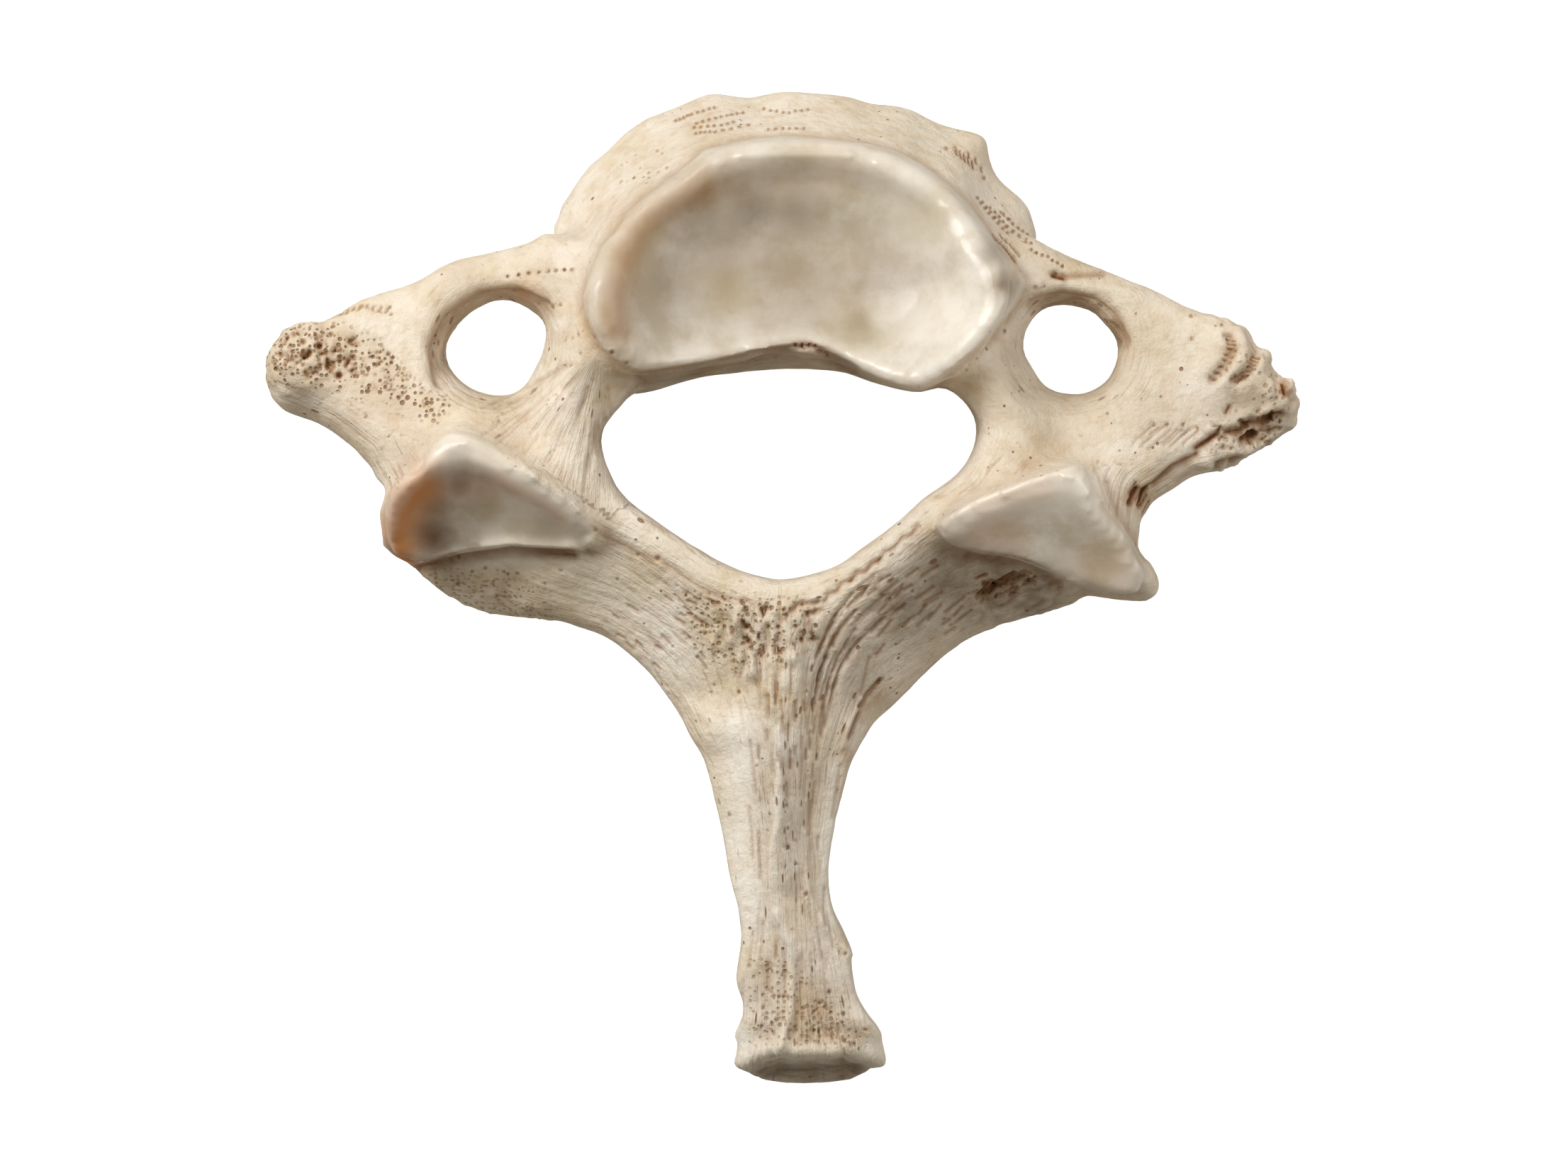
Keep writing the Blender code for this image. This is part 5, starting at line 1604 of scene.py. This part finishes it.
    def sponge_mask(self, clay: Clay) -> np.ndarray:
        """Weighs the points where open, porous bone shows.

        Args:
            clay: The sculpted points.

        Returns:
            Weights from 0 to 1.
        """
        patches = (
            Patch(((-36.0, 10.2), (-30.6, 10.4), (-27.8, 9.0), (-25.3, 6.2), (-22.6, 4.7), (-23.8, 3.4),
                   (-27.2, 4.4), (-30.6, 5.6), (-36.0, 6.0)), 0.5),
            Patch(((-6.6, -7.9), (-3.8, -8.3), (1.6, -8.6), (0.6, -12.6), (-3.4, -13.4), (-6.4, -12.0)),
                  0.7, 0.8),
            Patch(((-24.5, -6.2), (-17.0, -7.4), (-15.0, -10.4), (-25.0, -9.4)), 0.8, 0.6),
            Patch(((-2.6, -33.0), (0.4, -33.0), (1.2, -34.0), (5.6, -38.6), (5.2, -39.4), (-2.6, -39.0)),
                  0.6, 0.6),
            Patch(((28.6, 1.4), (33.8, 2.2), (34.8, 5.6), (33.0, 8.0), (31.0, 8.8), (30.6, 4.2)), 0.7, 0.5),
            Patch(((12.6, -9.2), (17.2, -7.6), (16.8, -6.4), (13.0, -7.2)), 0.5, 0.7),
        )
        return strongest(clay, patches) * facing_up(clay.normals)


@dataclass
class Wiring:
    """Short ways to add and join the nodes of one tree."""

    tree: bpy.types.NodeTree

    def add(self, kind: str, values: dict | None = None, **settings: object) -> bpy.types.Node:
        """Adds a node.

        Args:
            kind: The node's type.
            values: Numbers, colours or sockets for its inputs, by name or number.
            settings: Properties of the node.

        Returns:
            The new node.
        """
        node = self.tree.nodes.new(kind)
        for key, value in settings.items():
            setattr(node, key, value)
        for key, value in (values or {}).items():
            self.feed(node.inputs[key], value)
        return node

    def feed(self, socket: Socket, value: Feed) -> None:
        """Links a socket to an input, or sets its value.

        Args:
            socket: The input.
            value: A socket, number, colour or vector.
        """
        if isinstance(value, Socket):
            self.tree.links.new(value, socket)
        else:
            socket.default_value = value

    def sum_up(
        self, operation: str, first: Feed, second: Feed = 0.0, third: Feed = 0.0, clamp: bool = False
    ) -> Socket:
        """Adds a Math node.

        Args:
            operation: The Math node's operation.
            first: First number or socket.
            second: Second number or socket.
            third: Third number or socket.
            clamp: Whether the result is kept between 0 and 1.

        Returns:
            The result's socket.
        """
        values = {0: first, 1: second, 2: third}
        return self.add("ShaderNodeMath", values, operation=operation, use_clamp=clamp).outputs[0]

    def blend(self, amount: Feed, first: Feed, second: Feed) -> Socket:
        """Mixes two colours.

        Args:
            amount: Number or socket, 0 for the first.
            first: A colour or socket.
            second: A colour or socket.

        Returns:
            The mixed colour's socket.
        """
        node = self.add("ShaderNodeMix", data_type="RGBA", blend_type="MIX")
        for index, value in ((0, amount), (6, first), (7, second)):
            self.feed(node.inputs[index], value)
        return node.outputs[2]

    def span(self, value: Feed, low: float, high: float, start: float = 0.0, end: float = 1.0) -> Socket:
        """Maps a number softly from one range to another.

        Args:
            value: The socket to map.
            low: Where the range starts.
            high: Where it ends.
            start: Result at low.
            end: Result at high.

        Returns:
            The result's socket.
        """
        values = {"Value": value, "From Min": low, "From Max": high, "To Min": start, "To Max": end}
        node = self.add("ShaderNodeMapRange", values, interpolation_type="SMOOTHSTEP")
        return node.outputs["Result"]

    def mask(self, name: str) -> Socket:
        """Reads a painted mask."""
        return self.add("ShaderNodeAttribute", attribute_name=name).outputs["Fac"]

    def cloud(self, place: Socket, scale: float, detail: float = 3.0, roughness: float = 0.5) -> Socket:
        """Reads a cloud noise at a place."""
        values = {"Vector": place, "Scale": scale, "Detail": detail, "Roughness": roughness}
        return self.add("ShaderNodeTexNoise", values).outputs["Fac"]


def new_group(name: str, inputs: dict[str, tuple], outputs: dict[str, str]) -> bpy.types.NodeTree:
    """Starts a shader node group.

    Args:
        name: The group's name.
        inputs: Socket kind and default of each input.
        outputs: Socket kind of each output.

    Returns:
        The group's tree, with its sockets and end nodes.
    """
    tree = bpy.data.node_groups.new(name, "ShaderNodeTree")
    for label, (kind, default) in inputs.items():
        socket = tree.interface.new_socket(label, in_out="INPUT", socket_type=kind)
        if default is not None:
            socket.default_value = default
    for label, kind in outputs.items():
        tree.interface.new_socket(label, in_out="OUTPUT", socket_type=kind)
    tree.nodes.new("NodeGroupInput")
    tree.nodes.new("NodeGroupOutput")
    return tree


def pore_group() -> bpy.types.NodeTree:
    """Makes the group for scattered round pores.

    Returns:
        The group: Place, Spacing, Size, Share and Disorder in, Mask out.
    """
    number = "NodeSocketFloat"
    inputs = {
        "Place": ("NodeSocketVector", None),
        "Spacing": (number, 0.5),
        "Size": (number, 0.3),
        "Share": (number, 0.5),
        "Disorder": (number, 1.0),
    }
    tree = new_group("scattered_pores", inputs, {"Mask": number})
    wires = Wiring(tree)
    source = tree.nodes["Group Input"].outputs
    scale = wires.sum_up("DIVIDE", 1.0, source["Spacing"])
    values = {"Vector": source["Place"], "Scale": scale, "Randomness": source["Disorder"]}
    cells = wires.add("ShaderNodeTexVoronoi", values, voronoi_dimensions="3D", feature="F1")
    lot = wires.add("ShaderNodeSeparateColor", {"Color": cells.outputs["Color"]})
    kept = wires.sum_up("LESS_THAN", lot.outputs[0], source["Share"])
    varied = wires.sum_up("MULTIPLY_ADD", lot.outputs[1], 0.6, 0.6)
    size = wires.sum_up("MULTIPLY", source["Size"], varied)
    ratio = wires.sum_up("DIVIDE", cells.outputs["Distance"], size)
    dot = wires.span(ratio, 0.55, 1.1, 1.0, 0.0)
    result = wires.sum_up("MULTIPLY", dot, kept)
    tree.links.new(result, tree.nodes["Group Output"].inputs["Mask"])
    return tree


def fibre_group() -> bpy.types.NodeTree:
    """Makes the group for fibres and the long pores between them.

    Returns:
        The group: Lie, Fineness, Stretch and Rows in, Height and Slots out.
    """
    number = "NodeSocketFloat"
    inputs = {
        "Lie": ("NodeSocketVector", None),
        "Fineness": (number, 2.0),
        "Stretch": (number, 0.2),
        "Rows": (number, 0.0),
    }
    tree = new_group("bone_fibres", inputs, {"Height": number, "Slots": number})
    wires = Wiring(tree)
    source = tree.nodes["Group Input"].outputs
    factors = {"X": source["Fineness"], "Y": source["Stretch"], "Z": source["Stretch"]}
    scale = wires.add("ShaderNodeCombineXYZ", factors)
    place = wires.add("ShaderNodeVectorMath", {0: source["Lie"], 1: scale.outputs[0]}, operation="MULTIPLY")
    long = wires.cloud(place.outputs[0], 1.0, 5.0, 0.62)
    apart = wires.add("ShaderNodeVectorMath", {0: source["Lie"], 1: (2.4, 0.62, 0.62)}, operation="MULTIPLY")
    cells = wires.add("ShaderNodeTexVoronoi", {"Vector": apart.outputs[0], "Scale": 1.0, "Randomness": 0.95})
    lot = wires.add("ShaderNodeSeparateColor", {"Color": cells.outputs["Color"]})
    share = wires.sum_up("MULTIPLY_ADD", source["Rows"], 0.55, 0.20)
    kept = wires.sum_up("LESS_THAN", lot.outputs[0], share)
    dot = wires.span(cells.outputs["Distance"], 0.12, 0.25, 1.0, 0.0)
    slots = wires.sum_up("MULTIPLY", dot, kept)
    ends = tree.nodes["Group Output"].inputs
    tree.links.new(long, ends["Height"])
    tree.links.new(slots, ends["Slots"])
    return tree


@dataclass(frozen=True)
class BoneFinish:
    """Dry, cleaned bone with pearly joint faces."""

    ivory: tuple = tone(244, 233, 216)
    cream: tuple = tone(234, 219, 195)
    tan: tuple = tone(203, 175, 132)
    gold: tuple = tone(222, 196, 146)
    pearl: tuple = tone(238, 232, 221)
    shade: tuple = tone(196, 182, 156)
    # Tint of the painted light.
    painted_light_tint: tuple = tone(255, 247, 233)
    honey: tuple = tone(172, 128, 74)
    amber: tuple = tone(212, 136, 64)
    moss: tuple = tone(178, 160, 106)
    # Tint of the grey painted shade.
    grey_shade_tint: tuple = tone(172, 158, 134)
    # Umber: painted shade in the hollows, and the brown of the pores.
    umber: tuple = tone(148, 100, 50)
    clay: tuple = tone(150, 98, 46)
    # Darkest pore cores, painted shade of the holes.
    depth: tuple = tone(108, 64, 26)
    # Tint of the brown painted shade.
    painted_shade: tuple = tone(94, 68, 44)
    rough: float = 0.52
    polish: float = 0.34
    coat: float = 0.34
    coat_roughness: float = 0.22
    refraction: float = 1.45
    glow: float = 0.10
    glow_tint: tuple = (1.0, 0.72, 0.50)
    glow_depth: float = 0.7
    bump_height: float = 0.16
    fineness: float = 3.6
    stretch: float = 0.26

    def make(self) -> bpy.types.Material:
        """Builds the material.

        Returns:
            The material, which reads Object coordinates and the painted masks.
        """
        material = bpy.data.materials.new("dry_bone")
        material.use_nodes = True
        tree = material.node_tree
        tree.nodes.clear()
        wires = Wiring(tree)
        coords = wires.add("ShaderNodeTexCoord")
        size = (1.0 / MM, 1.0 / MM, 1.0 / MM)
        place = wires.add("ShaderNodeMapping", {"Vector": coords.outputs["Object"], "Scale": size}).outputs[0]
        lie = wires.add("ShaderNodeAttribute", attribute_name="lie").outputs["Vector"]
        joint = wires.mask("joint")
        pores, slots, strands, height = self.relief(wires, place, lie, joint)
        colour = self.colour(wires, place, joint, pores, slots, strands)
        gloss = self.gloss(wires, place, joint, pores)
        values = {"Height": height, "Strength": 1.0, "Distance": self.bump_height * MM}
        bump = wires.add("ShaderNodeBump", values)
        shader = wires.add("ShaderNodeBsdfPrincipled")
        wires.feed(shader.inputs["Base Color"], colour)
        wires.feed(shader.inputs["Roughness"], gloss)
        wires.feed(shader.inputs["Normal"], bump.outputs["Normal"])
        # Coat and specular fade on stains and on the brown painted shade.
        stained_and_shaded = wires.sum_up("MAXIMUM", wires.mask("painted_shade"), wires.mask("warm"))
        stained_and_shaded = wires.sum_up("MAXIMUM", stained_and_shaded, wires.mask("honey"))
        clean = wires.sum_up("SUBTRACT", 1.0, stained_and_shaded, clamp=True)
        coat = wires.sum_up("MULTIPLY", wires.sum_up("MULTIPLY", joint, clean), self.coat)
        wires.feed(shader.inputs["Coat Weight"], coat)
        wires.feed(shader.inputs["Specular IOR Level"], wires.sum_up("MULTIPLY_ADD", clean, 0.32, 0.18))
        shader.inputs["Coat Roughness"].default_value = self.coat_roughness
        shader.inputs["IOR"].default_value = self.refraction
        shader.inputs["Subsurface Weight"].default_value = self.glow
        shader.inputs["Subsurface Radius"].default_value = self.glow_tint
        shader.inputs["Subsurface Scale"].default_value = self.glow_depth * MM
        output = wires.add("ShaderNodeOutputMaterial")
        tree.links.new(shader.outputs["BSDF"], output.inputs["Surface"])
        return material

    def relief(self, wires: Wiring, place: Socket, lie: Socket, joint: Socket) -> tuple[Socket, ...]:
        """Wires the fine relief.

        Args:
            wires: The material's tree.
            place: Places in millimetres.
            lie: Coordinates across and along the fibres.
            joint: Mask of the joint faces.

        Returns:
            Sockets of the pore mask, the slot mask, the fibres' height and the height for the bump.
        """
        open_bone = wires.sum_up("SUBTRACT", 1.0, joint, clamp=True)
        sponge = wires.mask("sponge")
        fibre = wires.mask("fibre")
        group = pore_group()
        patchy = wires.span(wires.cloud(place, 0.22, 2.0), 0.46, 0.62)
        fields = []
        settings = (
            ({"Spacing": 0.40, "Size": 0.40, "Share": 0.80, "Disorder": 0.6}, sponge),
            ({"Spacing": 0.60, "Size": 0.17, "Share": 0.32, "Disorder": 1.0}, patchy),
            ({"Spacing": 1.5, "Size": 0.085, "Share": 0.5, "Disorder": 1.0}, open_bone),
        )
        for values, where in settings:
            spots = wires.add("ShaderNodeGroup", node_tree=group)
            wires.feed(spots.inputs["Place"], place)
            for key, value in values.items():
                wires.feed(spots.inputs[key], value)
            fields.append(wires.sum_up("MULTIPLY", spots.outputs["Mask"], where))
        pores = wires.sum_up("MAXIMUM", wires.sum_up("MAXIMUM", fields[0], fields[1]), fields[2])
        pores = wires.sum_up("MULTIPLY", pores, open_bone)
        strands = wires.add("ShaderNodeGroup", node_tree=fibre_group())
        wires.feed(strands.inputs["Lie"], lie)
        wires.feed(strands.inputs["Fineness"], self.fineness)
        wires.feed(strands.inputs["Stretch"], self.stretch)
        wires.feed(strands.inputs["Rows"], wires.mask("rows"))
        slots = wires.sum_up("MULTIPLY", strands.outputs["Slots"], fibre)
        long = wires.sum_up("MULTIPLY", wires.sum_up("SUBTRACT", strands.outputs["Height"], 0.5), fibre)
        coarse = wires.span(open_bone, 0.0, 1.0, 0.16, 1.1)
        rough = wires.sum_up("MULTIPLY", wires.cloud(place, 1.6, 5.0, 0.6), coarse)
        strong = wires.sum_up("MULTIPLY_ADD", wires.mask("rows"), 1.5, 1.7)
        level = wires.sum_up("MULTIPLY_ADD", long, strong, rough)
        level = wires.sum_up("MULTIPLY_ADD", pores, -0.9, level)
        level = wires.sum_up("MULTIPLY_ADD", slots, -0.9, level)
        return pores, slots, strands.outputs["Height"], level

    def colour(
        self, wires: Wiring, place: Socket, joint: Socket, pores: Socket, slots: Socket, strands: Socket
    ) -> Socket:
        """Wires the colour.

        Args:
            wires: The material's tree.
            place: Places in millimetres.
            joint: Mask of the joint faces.
            pores: Mask of the pores.
            slots: Mask of the long pores.
            strands: Height of the fibres.

        Returns:
            The colour's socket.
        """
        fibre = wires.mask("fibre")
        broad = wires.span(wires.cloud(place, 0.16, 3.0, 0.55), 0.35, 0.65)
        fleck = wires.span(wires.cloud(place, 0.9, 4.0, 0.6), 0.42, 0.70)
        golden = wires.span(wires.cloud(place, 0.34, 5.0, 0.65), 0.50, 0.72)
        speck = wires.span(wires.cloud(place, 3.2, 4.0, 0.7), 0.56, 0.74)
        base = wires.blend(broad, self.ivory, self.cream)
        base = wires.blend(wires.sum_up("MULTIPLY", golden, 0.45), base, self.gold)
        base = wires.blend(wires.sum_up("MULTIPLY", fleck, 0.34), base, self.tan)
        base = wires.blend(wires.sum_up("MULTIPLY", speck, 0.32), base, self.tan)
        cloudy = wires.span(wires.cloud(place, 0.30, 5.0, 0.62), 0.38, 0.66)
        pearly = wires.blend(wires.sum_up("MULTIPLY", cloudy, 0.75), self.pearl, self.shade)
        values = {"Vector": place, "Scale": (4.0, 0.6, 4.0), "Rotation": (0.0, 0.0, 0.5)}
        scratch = wires.add("ShaderNodeMapping", values)
        marks = wires.span(wires.cloud(scratch.outputs[0], 0.8, 4.0, 0.6), 0.56, 0.72)
        pearly = wires.blend(wires.sum_up("MULTIPLY", marks, 0.20), pearly, self.tan)
        base = wires.blend(wires.sum_up("MULTIPLY", joint, 0.90), base, pearly)
        ragged = wires.span(wires.cloud(place, 0.55, 4.0, 0.6), 0.25, 0.65, 0.45, 1.1)
        calm = wires.sum_up("SUBTRACT", 1.0, wires.sum_up("MULTIPLY", joint, 0.85))
        ragged = wires.sum_up("MULTIPLY_ADD", wires.sum_up("SUBTRACT", ragged, 1.0), calm, 1.0)
        # Blots: pale painted light, grey and brown painted shade, and olive, golden and orange stains.
        blots = (
            ("light", self.painted_light_tint, 0.95), ("olive", self.moss, 0.70), ("painted_grey_shade", self.grey_shade_tint, 0.75),
            ("honey", self.honey, 0.90), ("painted_shade", self.painted_shade, 0.90), ("warm", self.amber, 0.85),
        )
        for name, tint, amount in blots:
            share = wires.sum_up("MULTIPLY", wires.mask(name), ragged)
            base = wires.blend(wires.sum_up("MULTIPLY", share, amount, clamp=True), base, tint)
        # Painted shade: umber in the hollows, weaker on the joint faces.
        deep = wires.sum_up("MULTIPLY", wires.mask("hollow_shade"), wires.span(joint, 0.0, 1.0, 0.55, 0.12))
        base = wires.blend(deep, base, self.umber)
        # Painted highlight: ivory on convex ridges.
        base = wires.blend(wires.sum_up("MULTIPLY", wires.mask("crest"), 0.45), base, self.ivory)
        # Fibre grooves turn clay brown: brown lines, with painted shade in the grooves.
        denser = wires.sum_up("MULTIPLY_ADD", wires.mask("rows"), 0.4, 0.8)
        lines = wires.sum_up("MULTIPLY", wires.span(strands, 0.45, 0.34), denser)
        lines = wires.sum_up("MULTIPLY", lines, fibre)
        base = wires.blend(wires.sum_up("MULTIPLY", lines, 0.42), base, self.clay)
        base = wires.blend(wires.sum_up("MULTIPLY", wires.mask("sponge"), 0.30), base, self.tan)
        # Pores, slots and stained grooves turn brown and their cores darker: the pores' own brown, with
        # painted shade in the holes and the painted shadow lines of the marks.
        holes = wires.sum_up("MAXIMUM", pores, slots)
        base = wires.blend(wires.sum_up("MULTIPLY", holes, 0.82), base, self.umber)
        base = wires.blend(wires.sum_up("MULTIPLY", wires.mask("pit"), 0.92), base, self.clay)
        core = wires.span(wires.mask("pit"), 0.66, 1.0, 0.0, 0.80)
        return wires.blend(core, base, self.depth)

    def gloss(self, wires: Wiring, place: Socket, joint: Socket, pores: Socket) -> Socket:
        """Wires the roughness.

        Args:
            wires: The material's tree.
            place: Places in millimetres.
            joint: Mask of the joint faces.
            pores: Mask of the pores.

        Returns:
            The roughness socket.
        """
        uneven = wires.span(wires.cloud(place, 0.7, 3.0), 0.3, 0.7, -0.06, 0.08)
        base = wires.span(joint, 0.0, 1.0, self.rough, self.polish)
        return wires.sum_up("MULTIPLY_ADD", pores, 0.3, wires.sum_up("ADD", base, uneven))


@dataclass
class StudioFloor:
    """The pale, plain surface that the bone lies on."""

    half: float = 1.5
    lift: float = 0.95

    def build(self) -> bpy.types.Object:
        """Makes the floor.

        Returns:
            The floor, marked as stage.
        """
        bpy.ops.object.select_all(action="DESELECT")
        bpy.ops.mesh.primitive_plane_add(size=2.0 * self.half, location=(0.0, 0.0, 0.0))
        floor = bpy.context.active_object
        floor.name = "studio_floor"
        material = bpy.data.materials.new("white_floor")
        material.use_nodes = True
        tree = material.node_tree
        tree.nodes.clear()
        wires = Wiring(tree)
        matt = wires.add("ShaderNodeBsdfDiffuse", {"Color": (0.50, 0.48, 0.45, 1.0)})
        seen = wires.add("ShaderNodeLightPath").outputs["Is Camera Ray"]
        glow = wires.sum_up("MULTIPLY", seen, self.lift)
        lit = wires.add("ShaderNodeEmission", {"Color": (1.0, 1.0, 1.0, 1.0), "Strength": glow})
        both = wires.add("ShaderNodeAddShader", {0: matt.outputs[0], 1: lit.outputs[0]})
        output = wires.add("ShaderNodeOutputMaterial")
        tree.links.new(both.outputs[0], output.inputs["Surface"])
        floor.data.materials.append(material)
        return floor


@dataclass
class StudioLights:
    """One large soft key from the front left of the bone, a weak fill and a pale room."""

    distance: float = 0.55
    key_from: tuple = (-0.50, 0.50, 0.70)
    key_size: float = 0.38
    key_power: float = 2.70
    fill_from: tuple = (0.80, 0.22, 0.55)
    fill_size: float = 0.40
    fill_power: float = 0.90
    room: float = 0.22
    room_tint: tuple = (1.0, 0.91, 0.76, 1.0)

    def build(self) -> None:
        """Places the lights and the room's light."""
        self.lamp("key", self.key_from, self.key_size, self.key_power)
        self.lamp("fill", self.fill_from, self.fill_size, self.fill_power)
        world = bpy.data.worlds.new("pale_room")
        world.use_nodes = True
        wires = Wiring(world.node_tree)
        seen = wires.add("ShaderNodeLightPath").outputs["Is Camera Ray"]
        wash = world.node_tree.nodes["Background"].inputs
        wires.feed(wash[0], wires.blend(seen, self.room_tint, (1.0, 1.0, 1.0, 1.0)))
        wires.feed(wash[1], wires.sum_up("MULTIPLY_ADD", seen, 1.0 - self.room, self.room))
        bpy.context.scene.world = world
        bpy.context.scene.view_settings.view_transform = "Standard"

    def lamp(self, name: str, where: tuple, size: float, power: float) -> None:
        """Hangs one area light that looks at the bone.

        Args:
            name: The light's name.
            where: Direction from the bone to the light.
            size: Side of the light in metres.
            power: Its power in watts.
        """
        light = bpy.data.lights.new(name, "AREA")
        light.shape = "DISK"
        light.size = size
        light.energy = power
        holder = bpy.data.objects.new(name, light)
        direction = Vector(where).normalized()
        holder.location = direction * self.distance
        holder.rotation_euler = direction.to_track_quat("Z", "Y").to_euler()
        bpy.context.collection.objects.link(holder)


@dataclass
class PhotoCamera:
    """The camera straight above the bone, as in the photograph."""

    height: float = 0.60
    side: float = 0.00007
    frame_width: float = 0.1075
    bone_level: float = 0.0075
    sensor: float = 36.0

    def build(self) -> bpy.types.Object:
        """Makes the scene's camera.

        Returns:
            The camera.
        """
        data = bpy.data.cameras.new("photo_camera")
        data.sensor_width = self.sensor
        data.lens = self.sensor * (self.height - self.bone_level) / self.frame_width
        data.clip_start = 0.01
        data.clip_end = 10.0
        camera = bpy.data.objects.new("photo_camera", data)
        camera.location = (self.side, 0.0, self.height)
        bpy.context.collection.objects.link(camera)
        bpy.context.scene.camera = camera
        return camera


def main() -> None:
    """Builds the bone, its surroundings and the camera."""
    logging.basicConfig(level=logging.INFO, format="%(message)s")
    skin = BoneSkin().build()
    skin.data.materials.append(BoneFinish().make())
    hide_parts(NODE)
    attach(skin, "root")
    StudioFloor().build()
    LOG.info("floor in place")
    StudioLights().build()
    LOG.info("lights in place")
    PhotoCamera().build()
    LOG.info("camera in place")


if __name__ == "__main__":
    main()
